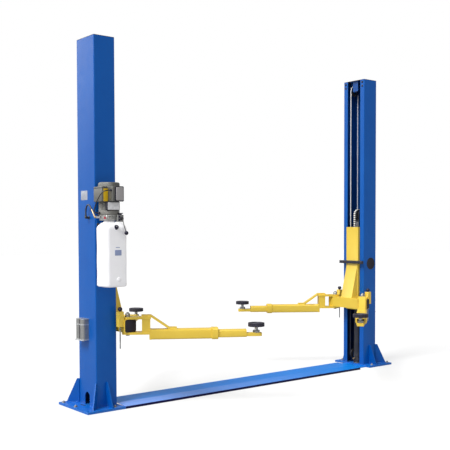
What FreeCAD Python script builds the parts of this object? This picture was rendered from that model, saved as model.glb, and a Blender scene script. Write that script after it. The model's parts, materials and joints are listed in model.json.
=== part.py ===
import FreeCAD, Part
import math
import os
import re

import Sketcher

# Two post car lift. Millimetres, +Z up, origin on the floor midway between the posts.
# +X runs from the left post to the right post, -Y is the side that the power unit hangs on.
# Pieces of a post are drawn for the right post; the left post is the same post turned half round.

document = FreeCAD.newDocument("TwoPostLift")
sheet = document.addObject("Spreadsheet::Sheet", "Dimensions")

dimensions = [
    ("clear_width", 2811, "between the open faces of the two posts"),
    ("post_depth", 180, "post along X"),
    ("post_width", 267, "post along Y"),
    ("post_height", 2824, "floor to the top of the cap"),
    ("post_wall", 6, "thickness of the folded post"),
    ("post_corner", 7, "outer radius of the post's folded corners"),
    ("lip_width", 50.5, "each lip beside the carriage slot"),
    ("cap_thick", 3, "post cap"),
    ("slot_width", 73, "arched hose slot in the outer face"),
    ("slot_height", 118, "top of the arched hose slot above the floor"),
    ("slot_offset", 6, "hose slot off the post's middle"),
    ("plug_radius", 56, "access hole in the post's side"),
    ("plug_height", 1015, "access hole above the floor"),
    ("plug_flange", 2, "how far the plug's flange laps and stands proud"),
    ("plug_inset", 103, "access hole from the open face"),
    ("base_thick", 18, "base plate"),
    ("base_width", 468, "base plate along Y"),
    ("base_inside", 16, "base plate in front of the open face"),
    ("base_outside", 127, "base plate beyond the outer face"),
    ("bolt_radius", 10, "holes for the floor anchors"),
    ("bolt_edge", 37, "anchor holes from the plate's side edges"),
    ("bolt_outer", 23, "anchor holes from the plate's outer edge"),
    ("bolt_inner", 70, "anchor holes from the plate's inner edge"),
    ("gusset_thick", 10, "gusset plates"),
    ("gusset_top", 205, "top of the gussets above the floor"),
    ("gusset_foot", 105, "corner gusset along the base plate"),
    ("gusset_head", 20, "corner gusset at its top"),
    ("side_foot", 92, "side gusset along the base plate"),
    ("side_head", 16, "side gusset at its top"),
    ("cover_front", 235, "cover's front edge from the middle"),
    ("cover_ramp", 115, "width of the cover's front ramp"),
    ("cover_flat", 190, "width of the cover's flat top"),
    ("cover_back", 16, "width of the cover's steep back edge"),
    ("cover_edge", 20, "height of the cover's front edge"),
    ("cover_rise", 30, "height of the cover's flat top"),
    ("cover_wall", 4, "cover sheet"),
    ("tongue_length", 140, "lower plate between the cover and the right base plate"),
    ("tongue_thick", 10, "lower plate"),
    ("cylinder_radius", 38, "lift cylinder"),
    ("cylinder_inset", 58, "cylinder axis behind the open face"),
    ("cylinder_side", 8, "cylinder axis off the post's middle"),
    ("rod_shown", 300, "roller axis above the cylinder's top as stored"),
    ("cylinder_end", 20, "closed bottom end of the cylinder"),
    ("rod_radius", 22.5, "piston rod"),
    ("rod_bottom", 400, "bottom of the rod as stored"),
    ("rod_gap", 0.3, "rod in its gland"),
    ("chain_radius", 50, "chain's middle line round the roller"),
    ("chain_thick", 14, "leaf chain through its depth"),
    ("chain_width", 24, "leaf chain along Y"),
    ("roller_height", 1500, "roller axis above the floor as stored"),
    ("roller_width", 28, "chain roller"),
    ("seat_gap", 0.3, "between a piece and what it turns or rests on"),
    ("yoke_base", 20, "yoke block on the rod's end"),
    ("yoke_cheek", 10, "yoke cheek plates"),
    ("yoke_inside", 40, "between the yoke's cheeks"),
    ("yoke_length", 50, "yoke cheeks along X"),
    ("yoke_rise", 32, "yoke above the roller's axis"),
    ("axle_radius", 10, "roller and pulley axles"),
    ("front_strand", 1100, "lower end of the chain's front strand as stored"),
    ("back_strand", 350, "lower end of the chain's back strand as stored"),
    ("cable_radius", 4.5, "equalizing cable"),
    ("cable_side", 59, "cable plane off the post's middle"),
    ("cable_inset", 72, "pulley axes behind the open face"),
    ("pulley_radius", 50, "cable's middle line round its pulleys"),
    ("pulley_width", 10, "cable pulleys"),
    ("pulley_drop", 94, "top pulley axis below the top of the cap"),
    ("low_pulley", 100, "base pulley axis"),
    ("cheek_inside", 26, "between the pulley cheeks"),
    ("cheek_thick", 6, "pulley cheek plates"),
    ("cheek_length", 40, "pulley cheeks along X"),
    ("cheek_past", 15, "pulley cheeks past the axle"),
    ("hanger_width", 66, "plate that hangs inside the post's top"),
    ("hanger_drop", 100, "how far the hanging plate reaches down"),
    ("hanger_thick", 6, "hanging plate"),
    ("hanger_inset", 22, "hanging plate behind the open face"),
    ("carriage_bottom", 558, "bottom of the carriage channel as stored"),
    ("carriage_top", 1377, "top of the carriage channel as stored"),
    ("carriage_proud", 20, "carriage front in front of the post's open face"),
    ("carriage_plate", 10, "carriage front plate"),
    ("carriage_side", 8, "carriage side plates"),
    ("carriage_inside", 80, "side plates behind the open face"),
    ("channel_gap", 6, "between the carriage and the post's lips"),
    ("wing_clear", 6, "between the carriage's wings and the post's lips and walls"),
    ("wing_depth", 38, "wings along X"),
    ("wing_height", 150, "height of each wing"),
    ("taper_bottom", 85, "taper's foot in front of the carriage plate"),
    ("taper_width", 140, "taper along Y"),
    ("taper_top", 1008, "top of the taper"),
    ("tube_bottom", 580, "underside of the cross tube as stored"),
    ("tube_wide", 100, "cross tube along X"),
    ("tube_high", 99, "cross tube along Z"),
    ("tube_long", 446, "cross tube along Y"),
    ("tube_wall", 7, "cross tube wall"),
    ("cap_plug", 20, "end caps inside the tube's ends"),
    ("guard_length", 304, "guard bar along Y"),
    ("guard_high", 31, "guard bar along Z"),
    ("guard_deep", 26, "guard bar along X"),
    ("guard_gap", 6, "guard bar above the taper"),
    ("pin_inset", 40, "pivot pins from the ends of the cross tube"),
    ("pin_radius", 15, "pivot pins"),
    ("pin_head", 18, "radius of the pin's head"),
    ("pin_head_high", 34, "height of the pin's head"),
    ("pin_nut_high", 11, "height of the pin's nut"),
    ("pin_gap", 0.5, "pivot pin in the arm"),
    ("lock_wide", 43, "arm lock housing, square"),
    ("lock_above", 63, "arm lock housing above the cross tube"),
    ("lock_below", 54, "arm lock housing below the cross tube's top"),
    ("lock_outset", 6, "arm lock housing outward of the pin"),
    ("knob_radius", 18, "arm lock knob"),
    ("knob_high", 33, "arm lock knob"),
    ("lock_rod", 5, "radius of the arm lock's rod"),
    ("lock_drop", 168, "arm lock's rod below its housing"),
    ("fork_plate", 18, "arm fork plates"),
    ("fork_gap", 0.5, "between the fork plates and the cross tube"),
    ("fork_round", 45, "fork's rounded end about the pin, and its half width"),
    ("fork_length", 178, "fork plates from the pin"),
    ("web_start", 108, "web between the fork plates from the pin"),
    ("web_end", 168, "far side of the web from the pin"),
    ("web_half", 40, "half width of the web"),
    ("arm_high", 78, "outer arm tube"),
    ("arm_wide", 90, "outer arm tube"),
    ("arm_wall", 6, "outer arm tube"),
    ("arm_middle", 561, "middle of the arm tubes above the floor as stored"),
    ("arm_start", 165, "outer tube's inner end from the pin"),
    ("arm_end", 695, "outer tube's outer end from the pin"),
    ("collar_long", 48, "collar at the outer tube's end"),
    ("collar_thick", 6, "collar round the outer tube"),
    ("strap_thick", 14, "brace strap over the arm"),
    ("strap_start", 105, "inner end of the strap from the pin"),
    ("strap_wide", 64, "brace strap over the arm"),
    ("strap_end", 376, "outer end of the strap from the pin"),
    ("strap_bend", 320, "strap's lower bend from the pin"),
    ("inner_high", 59, "second arm tube"),
    ("inner_wide", 74, "second arm tube"),
    ("inner_wall", 5, "second arm tube"),
    ("inner_long", 540, "second arm tube"),
    ("inner_short", 80, "pad axis beyond the second tube's end"),
    ("bar_wide", 60, "pad bar"),
    ("bar_high", 26, "pad bar"),
    ("bar_long", 330, "pad bar"),
    ("bar_past", 42, "pad bar beyond the pad's axis"),
    ("bar_corner", 9, "rounded corners at the end of the pad bar"),
    ("nut_width", 47, "hexagon nut across its flats"),
    ("nut_high", 19, "hexagon nut"),
    ("stem_radius", 14, "pad screw"),
    ("stem_below", 2, "pad screw below the bar as stored"),
    ("stem_gap", 0.3, "pad screw in its nut"),
    ("pad_radius", 65, "lifting pad"),
    ("pad_thick", 26, "lifting pad"),
    ("pad_rise", 31, "pad above the nut as stored"),
    ("left_front_angle", -32.6, "arm's heading from +X as stored"),
    ("left_front_radius", 997, "pad axis from the pin as stored"),
    ("left_back_angle", 42.1, "arm's heading from +X as stored"),
    ("left_back_radius", 961, "pad axis from the pin as stored"),
    ("right_front_angle", 220.8, "arm's heading from +X as stored"),
    ("right_front_radius", 986, "pad axis from the pin as stored"),
    ("right_back_angle", 145.2, "arm's heading from +X as stored"),
    ("right_back_radius", 941, "pad axis from the pin as stored"),
    ("cover_box_deep", 58, "lock cover off the post's outer face"),
    ("lobe_radius", 26, "each of the lock cover's two rounded lobes"),
    ("lobe_pitch", 62, "middle to middle of the lock cover's lobes"),
    ("lobe_plate", 8, "web between the lobes"),
    ("foot_thick", 4, "flange under the lock cover"),
    ("foot_past", 4, "flange beyond the lobes"),
    ("cover_box_low", 520, "underside of the lock cover"),
    ("cover_box_high", 166, "lock cover"),
    ("cover_box_side", 31, "lock cover's middle off the post's middle"),
    ("unit_inset", 70, "motor axis inward of the post's outer face"),
    ("unit_reach", 88.5, "motor axis off the post's side"),
    ("motor_radius", 78, "motor frame"),
    ("motor_high", 182, "motor frame"),
    ("fan_radius", 80, "fan cover"),
    ("fan_high", 60, "fan cover"),
    ("block_half", 54, "half the pump block's sides"),
    ("block_low", 1434, "underside of the pump block"),
    ("block_high", 42, "pump block"),
    ("tank_wide", 176, "oil tank along X"),
    ("tank_deep", 172, "oil tank along Y"),
    ("tank_high", 440, "oil tank's straight part"),
    ("tank_round", 26, "oil tank's rounded corners"),
    ("tank_shoulder", 38, "height of the tank's sloping shoulder"),
    ("shoulder_inset", 30, "how far the shoulder slopes inward"),
    ("tank_neck", 42, "radius of the tank's neck"),
    ("neck_high", 14, "tank's neck"),
    ("tank_side", 5, "tank's middle outward of the motor axis"),
    ("tank_forward", 42, "tank's middle in front of the motor axis"),
    ("box_wide", 90, "terminal box along X"),
    ("box_deep", 62, "terminal box in front of the motor"),
    ("box_rise", 98, "terminal box above the pump block"),
    ("box_high", 110, "terminal box"),
    ("can_wide", 54, "capacitor box along X"),
    ("can_deep", 124, "capacitor box along Y"),
    ("can_past", 20, "capacitor box beyond the motor"),
    ("can_front", 67, "capacitor box in front of the motor axis"),
    ("bracket_thick", 8, "motor bracket plate"),
    ("bracket_half", 62, "half width of the motor bracket"),
    ("bracket_drop", 40, "motor bracket plate below the pump block"),
    ("cap_radius", 16, "filler cap"),
    ("cap_high", 14, "filler cap"),
    ("cap_tilt", 50, "filler cap's slope from upright"),
    ("cap_side", 8.5, "filler cap outward of the tank's middle"),
    ("cap_sink", 14.5, "foot of the filler cap behind the tank's front"),
    ("cap_drop", 9, "foot of the filler cap below the shoulder"),
    ("valve_start", 24, "lever valve's near side inward of the motor axis"),
    ("valve_wide", 52, "lever valve along X"),
    ("valve_deep", 30, "lever valve in front of the pump block"),
    ("valve_drop", 10, "lever valve below the pump block"),
    ("ear_reach", 22, "lever's ears in front of the valve"),
    ("ear_thick", 3, "lever's ears"),
    ("ear_high", 14, "lever's ears"),
    ("eye_wide", 8, "lever's eye between the ears"),
    ("eye_radius", 6, "lever's eye"),
    ("eye_pin", 2, "radius of the lever's pin"),
    ("eye_gap", 0.1, "lever's eye on its pin"),
    ("lever_side", 55, "lever inward of the motor axis"),
    ("lever_rise", 24, "lever's pin above the valve's underside"),
    ("lever_radius", 3, "release lever's rod"),
    ("lever_long", 120, "pin to the middle of the lever's ball"),
    ("lever_tilt", 27, "release lever's slope out from straight down"),
    ("ball_radius", 15, "release lever's ball"),
    ("hose_radius", 5.5, "hydraulic hose"),
    ("hose_stand", 28, "hose off the post's outer face"),
    ("nipple_radius", 9, "hose fittings"),
    ("nipple_side", 37, "fitting on the pump block off the motor axis"),
    ("nipple_rise", 25, "fitting above the pump block's underside"),
    ("stem_tilt", 41, "slope of the hose's steel end from upright"),
    ("stem_long", 76, "steel end of the hose"),
    ("stem_round", 6.5, "radius of the hose's steel end"),
    ("elbow_side", 44, "elbow off the post's middle"),
    ("elbow_rise", 44, "top of the elbow above the pump block's underside"),
    ("elbow_high", 21, "elbow's upright part"),
    ("hose_run", 46, "hose straight on from its steel end"),
    ("hose_lift", 52, "hose straight up from the elbow"),
    ("hose_arch", 15, "rise of the hose between them"),
    ("wire_radius", 4, "motor's cable"),
    ("gland_radius", 8, "cable glands"),
    ("gland_long", 14, "cable glands"),
    ("gland_side", 113, "upper gland in front of the motor axis"),
    ("gland_rise", 81, "upper gland above the terminal box's underside"),
    ("gland_low", 14, "lower gland above the pump block"),
    ("wire_lead", 32, "cable straight out of its glands"),
    ("wire_out", 57, "cable's bulge off the line between its glands"),
]

for row, (alias, value, meaning) in enumerate(dimensions, start=1):
    sheet.set(f"A{row}", meaning)
    sheet.set(f"B{row}", str(value))
    sheet.setAlias(f"B{row}", alias)
document.recompute()


def size(alias):
    return float(getattr(sheet, alias))


def link(text):
    """Names of dimensions become references to the sheet's cells."""
    return re.sub(r"[a-z][a-z_]*", lambda found: "Dimensions." + found.group(0), text)


def bind(item, place, text):
    item.setExpression(place, link(text))


def locate(item, x="0", y="0", z="0"):
    bind(item, "Placement.Base.x", x)
    bind(item, "Placement.Base.y", y)
    bind(item, "Placement.Base.z", z)
    return item


def box(x_low, x_high, y_low, y_high, z_low, z_high):
    item = document.addObject("Part::Box", "Block")
    bind(item, "Length", f"({x_high}) - ({x_low})")
    bind(item, "Width", f"({y_high}) - ({y_low})")
    bind(item, "Height", f"({z_high}) - ({z_low})")
    return locate(item, x_low, y_low, z_low)


def cylinder(radius, low, high, across, up, along="Z"):
    """A round bar from low to high; across and up are its other two coordinates in X, Y, Z order."""
    item = document.addObject("Part::Cylinder", "Round")
    bind(item, "Radius", radius)
    bind(item, "Height", f"({high}) - ({low})")
    if along == "Z":
        return locate(item, across, up, low)
    if along == "X":
        item.Placement.Rotation = FreeCAD.Rotation(FreeCAD.Vector(0, 1, 0), 90)
        return locate(item, low, across, up)
    item.Placement.Rotation = FreeCAD.Rotation(FreeCAD.Vector(1, 0, 0), 90)
    return locate(item, across, high, up)


def ball(radius, x, y, z):
    item = document.addObject("Part::Sphere", "Ball")
    bind(item, "Radius", radius)
    return locate(item, x, y, z)


def fuse(*pieces):
    item = document.addObject("Part::MultiFuse", "Joined")
    item.Shapes = list(pieces)
    item.Refine = True
    return item


def cut(base, *tools):
    item = document.addObject("Part::Cut", "Trimmed")
    item.Base = base
    item.Tool = tools[0] if len(tools) == 1 else fuse(*tools)
    item.Refine = True
    return item


def group(*pieces):
    item = document.addObject("Part::Compound", "Group")
    item.Links = list(pieces)
    return item


def moved(piece, x="0", y="0", z="0", angle="0"):
    """The piece turned about the vertical through its own origin, then moved."""
    item = group(piece)
    item.Placement.Rotation = FreeCAD.Rotation(FreeCAD.Vector(0, 0, 1), 1)
    bind(item, "Placement.Rotation.Angle", angle)
    return locate(item, x, y, z)


def prism(outline, low, high, plane="XY_Plane"):
    """A plate with a cornered outline, from low to high along the plane's third direction."""
    body = document.addObject("PartDesign::Body", "Body")
    support = [item for item in body.Origin.OriginFeatures if item.Role == plane][0]
    sketch = body.newObject("Sketcher::SketchObject", "Outline")
    sketch.AttachmentSupport = (support, [""])
    sketch.MapMode = "FlatFace"
    count = len(outline)
    start_radius = 100.0
    corners = []
    for index in range(count):
        turn = 2 * math.pi * index / count
        corners.append(FreeCAD.Vector(start_radius * math.cos(turn), start_radius * math.sin(turn), 0))
    for index in range(count):
        sketch.addGeometry(Part.LineSegment(corners[index], corners[(index + 1) % count]), False)
    for index in range(count):
        sketch.addConstraint(Sketcher.Constraint("Coincident", index, 2, (index + 1) % count, 1))
    for index, (across, up) in enumerate(outline):
        for kind, text, value in (("DistanceX", across, corners[index].x), ("DistanceY", up, corners[index].y)):
            number = sketch.addConstraint(Sketcher.Constraint(kind, index, 1, value))
            bind(sketch, f"Constraints[{number}]", text)
    pad = body.newObject("PartDesign::Pad", "Pad")
    pad.Profile = sketch
    bind(pad, "Length", f"({high}) - ({low})")
    if plane == "XY_Plane":
        return locate(body, "0", "0", low)
    if plane == "YZ_Plane":
        return locate(body, low, "0", "0")
    return locate(body, "0", high, "0")


def rounded(piece, radius, wanted):
    """The piece with a fillet on each edge that wanted(edge) picks."""
    document.recompute()
    item = document.addObject("Part::Fillet", "Rounded")
    item.Base = piece
    edges = []
    for number, edge in enumerate(piece.Shape.Edges, start=1):
        if wanted(edge):
            edges.append((number, size(radius), size(radius)))
    item.Edges = edges
    return item


def upright(edge):
    ends = [vertex.Point for vertex in edge.Vertexes]
    return len(ends) == 2 and abs(ends[0].x - ends[1].x) < 0.01 and abs(ends[0].y - ends[1].y) < 0.01


def tube_path(points, closed=False):
    """Straight runs joined by tangent arcs, each as large as 0.45 of its shorter run allows."""
    count = len(points)
    corners = range(count) if closed else range(1, count - 1)
    edges = []
    radii = []
    start = None if closed else points[0]
    first = None
    for index in corners:
        before, here, after = points[index - 1], points[index], points[(index + 1) % count]
        back = (before - here).normalize()
        ahead = (after - here).normalize()
        turn = math.pi - back.getAngle(ahead)
        reach = 0.45 * min((before - here).Length, (after - here).Length)
        radius = reach / math.tan(turn / 2)
        inward = (back + ahead).normalize()
        centre = here + inward * (radius / math.cos(turn / 2))
        enter = here + back * reach
        leave = here + ahead * reach
        if start is not None:
            edges.append(Part.LineSegment(start, enter).toShape())
        else:
            first = enter
        edges.append(Part.Arc(enter, centre - inward * radius, leave).toShape())
        start = leave
        radii.append(radius)
    edges.append(Part.LineSegment(start, first if closed else points[-1]).toShape())
    return Part.Wire(edges), radii


def cord(name, points, radius):
    """A round tube along a route of chosen points."""
    path, radii = tube_path(points)
    direction = points[1] - points[0]
    ring = Part.Wire([Part.Circle(points[0], direction, radius).toShape()])
    item = document.addObject("Part::Feature", "Cord")
    item.Shape = path.makePipeShell([ring], True, False)
    volume = math.pi * radius ** 2 * path.Length
    print(name, "length", round(path.Length, 1), "radii", [round(value, 1) for value in radii],
          "volume ratio", round(item.Shape.Volume / volume, 4))
    return item


nodes = {}


def node(name, piece, side="right"):
    """Names a finished piece; a piece of the left post is the right one's turned half round."""
    item = group(piece)
    if side == "left":
        item.Placement.Rotation = FreeCAD.Rotation(FreeCAD.Vector(0, 0, 1), 180)
    item.Label = name
    nodes[name] = item
    return item


# Places that several pieces share
open_face = "(clear_width / 2)"
outer_face = f"({open_face} + post_depth)"
post_half = "(post_width / 2)"
slot_half = f"({post_half} - lip_width)"
post_top = "(post_height - cap_thick)"
cylinder_x = f"({open_face} + cylinder_inset)"
cylinder_y = "(-1 * cylinder_side)"
rod_top = "(roller_height - chain_radius - yoke_base)"
cylinder_top = "(roller_height - rod_shown)"
pulley_x = f"({open_face} + cable_inset)"
top_pulley = "(post_height - pulley_drop)"
channel_front = f"({open_face} - carriage_proud)"
channel_back = f"({channel_front} + carriage_plate)"
channel_half = f"({slot_half} - channel_gap)"
tube_top = "(tube_bottom + tube_high)"
tube_half = "(tube_long / 2)"
pin_x = f"({channel_front} - tube_wide / 2)"
pin_y = f"({tube_half} - pin_inset)"
fork_top = f"({tube_top} + fork_gap + fork_plate)"
fork_low = "(tube_bottom - fork_gap - fork_plate)"
inner_low = "(arm_middle - arm_high / 2 + arm_wall + seat_gap)"
bar_low = f"({inner_low} + inner_wall + seat_gap)"
bar_top = f"({bar_low} + bar_high)"
pad_low = f"({bar_top} + nut_high + pad_rise)"
unit_x = f"(unit_inset - {outer_face})"
unit_y = f"(0 - {post_half} - unit_reach)"
block_top = "(block_low + block_high)"
box_low = f"({block_top} + box_rise)"
tank_x = f"({unit_x} - tank_side)"
tank_y = f"({unit_y} - tank_forward)"
tank_top = "(block_low - neck_high)"
tank_straight = f"({tank_top} - tank_shoulder)"
tank_low = f"({tank_straight} - tank_high)"
valve_low = "(block_low - valve_drop)"
valve_face = f"({unit_y} - block_half - valve_deep)"
lever_x = f"({unit_x} + lever_side)"
lever_y = f"({valve_face} - ear_reach + eye_radius)"
lever_z = f"({valve_low} + lever_rise)"
hose_x = f"(0 - {outer_face} - hose_stand)"


def column():
    """A plate folded to a channel with two lips, its slot towards the other post."""
    inner_face = f"{open_face} + post_wall"
    outer_inside = f"{outer_face} - post_wall"
    inner_half = f"{post_half} - post_wall"
    outline = [(outer_face, f"-{post_half}"), (outer_face, post_half), (open_face, post_half),
               (open_face, slot_half), (inner_face, slot_half), (inner_face, inner_half),
               (outer_inside, inner_half), (outer_inside, f"0 - ({inner_half})"),
               (inner_face, f"0 - ({inner_half})"), (inner_face, f"-{slot_half}"),
               (open_face, f"-{slot_half}"), (open_face, f"-{post_half}")]
    folded = prism(outline, "base_thick", post_top)
    limits = (size("clear_width") / 2, size("clear_width") / 2 + size("post_depth"))

    def outer_corner(edge):
        point = edge.Vertexes[0].Point
        beside = min(abs(point.x - limit) for limit in limits) < 0.01
        return upright(edge) and beside and abs(abs(point.y) - size("post_width") / 2) < 0.01

    folded = rounded(folded, "post_corner", outer_corner)
    slot_y = "(0 - slot_offset)"
    arch = cylinder("slot_width / 2", f"{outer_face} - 2 * post_wall", f"{outer_face} + post_wall",
                    slot_y, "slot_height - slot_width / 2", along="X")
    slot = box(f"{outer_face} - 2 * post_wall", f"{outer_face} + post_wall", f"{slot_y} - slot_width / 2",
               f"{slot_y} + slot_width / 2", "0", "slot_height - slot_width / 2")
    hole = cylinder("plug_radius", f"-{post_half} - post_wall", f"0 - {post_half} + 2 * post_wall",
                    f"{open_face} + plug_inset", "plug_height", along="Y")
    return cut(folded, arch, slot, hole)


def column_cap():
    plate = box(open_face, outer_face, f"-{post_half}", post_half, post_top, "post_height")
    return rounded(plate, "post_corner", upright)


def access_plug():
    """A disc with a rim that presses into the access hole."""
    x = f"{open_face} + plug_inset"
    disc = cylinder("plug_radius + plug_flange", f"0 - {post_half} - plug_flange", f"-{post_half}",
                    x, "plug_height", along="Y")
    rim = cylinder("plug_radius - seat_gap", f"-{post_half}", f"0 - {post_half} + post_wall",
                   x, "plug_height", along="Y")
    return fuse(disc, rim)


def base_plate():
    inner = f"({open_face} - base_inside)"
    outer = f"({outer_face} + base_outside)"
    plate = box(inner, outer, "-1 * base_width / 2", "base_width / 2", "0", "base_thick")
    holes = []
    for x in (f"{inner} + bolt_inner", f"{outer} - bolt_outer"):
        for sign in ("-1", "1"):
            holes.append(cylinder("bolt_radius", "0", "base_thick", x, f"{sign} * (base_width / 2 - bolt_edge)"))
    holes.append(cylinder("bolt_radius", "0", "base_thick", f"{outer} - bolt_outer", "0"))
    return cut(plate, *holes)


def gussets():
    """Two plates out from the post's outer corners and one on each side of it."""
    bite = "post_corner"
    envelope = rounded(box(open_face, outer_face, f"-{post_half}", post_half, "base_thick",
                           "gusset_top + gusset_head"), "post_corner", upright)
    plates = []
    for sign, turn in (("1", "45"), ("-1", "-45")):
        outline = [(f"0 - {bite}", "base_thick"), ("gusset_foot", "base_thick"), ("gusset_head", "gusset_top"),
                   (f"0 - {bite}", "gusset_top")]
        plate = prism(outline, "-1 * gusset_thick / 2", "gusset_thick / 2", plane="XZ_Plane")
        placed = moved(plate, f"{outer_face} - post_corner / 4",
                       f"{sign} * ({post_half} - post_corner / 4)", "0", turn)
        plates.append(cut(placed, envelope))
    for sign in ("1", "-1"):
        edge = f"{sign} * {post_half}"
        outline = [(edge, "base_thick"), (f"{sign} * ({post_half} + side_foot)", "base_thick"),
                   (f"{sign} * ({post_half} + side_head)", "gusset_top"), (edge, "gusset_top")]
        middle = f"({open_face} + post_depth / 2)"
        plates.append(prism(outline, f"{middle} - gusset_thick / 2", f"{middle} + gusset_thick / 2",
                            plane="YZ_Plane"))
    return group(*plates)


def floor_cover():
    """A folded sheet over the cables: front edge, ramp, flat top and a steep back edge."""
    front = "(0 - cover_front)"
    crest = f"({front} + cover_ramp)"
    back = f"({crest} + cover_flat)"
    outline = [(front, "0"), (front, "cover_edge"), (crest, "cover_rise"), (back, "cover_rise"),
               (f"{back} + cover_back", "0"), (f"{back} + cover_back - 2 * cover_wall", "0"),
               (f"{back} - cover_wall", "cover_rise - cover_wall"), (crest, "cover_rise - cover_wall"),
               (f"{front} + cover_wall", "cover_edge - cover_wall"), (f"{front} + cover_wall", "0")]
    left_end = f"base_inside - {open_face}"
    right_end = f"{open_face} - base_inside - tongue_length"
    folded = prism(outline, left_end, right_end, plane="YZ_Plane")
    tongue = box(right_end, f"{open_face} - base_inside", f"{crest} - cover_ramp / 2",
                 f"{back} + cover_back", "0", "tongue_thick")
    return group(folded, tongue)


def cylinder_tube():
    tube = cylinder("cylinder_radius", "base_thick", cylinder_top, cylinder_x, cylinder_y)
    bore = cylinder("rod_radius + rod_gap", "base_thick + cylinder_end", cylinder_top, cylinder_x, cylinder_y)
    return cut(tube, bore)


def rod_and_roller():
    """The piston rod with a forked yoke and the chain roller on its axle."""
    rod = cylinder("rod_radius", "rod_bottom", rod_top, cylinder_x, cylinder_y)
    cheek_outer = "(yoke_inside / 2 + yoke_cheek)"
    block = box(f"{cylinder_x} - yoke_length / 2", f"{cylinder_x} + yoke_length / 2",
                f"{cylinder_y} - {cheek_outer}", f"{cylinder_y} + {cheek_outer}", rod_top, f"{rod_top} + yoke_base")
    cheeks = []
    for low, high in ((f"0 - {cheek_outer}", "-1 * yoke_inside / 2"), ("yoke_inside / 2", cheek_outer)):
        cheeks.append(box(f"{cylinder_x} - yoke_length / 2", f"{cylinder_x} + yoke_length / 2",
                          f"{cylinder_y} + {low}", f"{cylinder_y} + {high}",
                          f"{rod_top} + yoke_base", "roller_height + yoke_rise"))
    axle = cylinder("axle_radius", f"{cylinder_y} - {cheek_outer}", f"{cylinder_y} + {cheek_outer}",
                    cylinder_x, "roller_height", along="Y")
    roller = cylinder("chain_radius - chain_thick / 2 - seat_gap", f"{cylinder_y} - roller_width / 2",
                      f"{cylinder_y} + roller_width / 2", cylinder_x, "roller_height", along="Y")
    eye = cylinder("axle_radius + seat_gap", f"{cylinder_y} - roller_width / 2",
                   f"{cylinder_y} + roller_width / 2", cylinder_x, "roller_height", along="Y")
    return group(fuse(rod, block, *cheeks, axle), cut(roller, eye))


def lift_chain():
    """The leaf chain over the roller, with its two hanging strands."""
    low_y = f"{cylinder_y} - chain_width / 2"
    high_y = f"{cylinder_y} + chain_width / 2"
    outer = "(chain_radius + chain_thick / 2)"
    inner = "(chain_radius - chain_thick / 2)"
    ring = cut(cylinder(outer, low_y, high_y, cylinder_x, "roller_height", along="Y"),
               cylinder(inner, low_y, high_y, cylinder_x, "roller_height", along="Y"),
               box(f"{cylinder_x} - {outer}", f"{cylinder_x} + {outer}", low_y, high_y,
                   f"roller_height - {outer}", "roller_height"))
    front = box(f"{cylinder_x} - {outer}", f"{cylinder_x} - {inner}", low_y, high_y, "front_strand", "roller_height")
    back = box(f"{cylinder_x} + {inner}", f"{cylinder_x} + {outer}", low_y, high_y, "back_strand", "roller_height")
    return fuse(ring, front, back)


def pulley(height):
    return cut(cylinder("pulley_radius - cable_radius - seat_gap", "cable_side - pulley_width / 2",
                        "cable_side + pulley_width / 2", pulley_x, height, along="Y"),
               cylinder("axle_radius + seat_gap", "cable_side - pulley_width / 2",
                        "cable_side + pulley_width / 2", pulley_x, height, along="Y"))


def pulley_bracket(height, low, high):
    """Two cheek plates and the axle between them."""
    pieces = []
    for start, end in (("cable_side - cheek_inside / 2 - cheek_thick", "cable_side - cheek_inside / 2"),
                       ("cable_side + cheek_inside / 2", "cable_side + cheek_inside / 2 + cheek_thick")):
        pieces.append(box(f"{pulley_x} - cheek_length / 2", f"{pulley_x} + cheek_length / 2", start, end, low, high))
    pieces.append(cylinder("axle_radius", "cable_side - cheek_inside / 2 - cheek_thick",
                           "cable_side + cheek_inside / 2 + cheek_thick", pulley_x, height, along="Y"))
    return pieces


def pulley_brackets():
    top_plate = box(f"{open_face} + hanger_inset", f"{pulley_x} + cheek_length / 2", "-1 * hanger_width / 2",
                    "cable_side + cheek_inside / 2 + cheek_thick", f"{post_top} - hanger_thick", post_top)
    hanger = box(f"{open_face} + hanger_inset", f"{open_face} + hanger_inset + hanger_thick",
                 "-1 * hanger_width / 2", "hanger_width / 2", f"{post_top} - hanger_drop", post_top)
    top = fuse(top_plate, hanger, *pulley_bracket(top_pulley, f"{top_pulley} - cheek_past", post_top))
    low = fuse(*pulley_bracket("low_pulley", "base_thick", "low_pulley + cheek_past"))
    return group(top, low)


def equalizer_cable():
    """One closed loop of cable round the top and base pulleys."""
    front = f"{pulley_x} - pulley_radius"
    back = f"{pulley_x} + pulley_radius"
    pieces = [cylinder("cable_radius", "low_pulley", top_pulley, x, "cable_side") for x in (front, back)]
    for height, turn in ((top_pulley, 0), ("low_pulley", 180)):
        bend = document.addObject("Part::Torus", "Bend")
        bind(bend, "Radius1", "pulley_radius")
        bind(bend, "Radius2", "cable_radius")
        bend.Angle3 = 180
        bend.Placement.Rotation = FreeCAD.Rotation(FreeCAD.Vector(1, 0, 0), 90 + turn)
        pieces.append(locate(bend, pulley_x, "cable_side", height))
    return fuse(*pieces)


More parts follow.
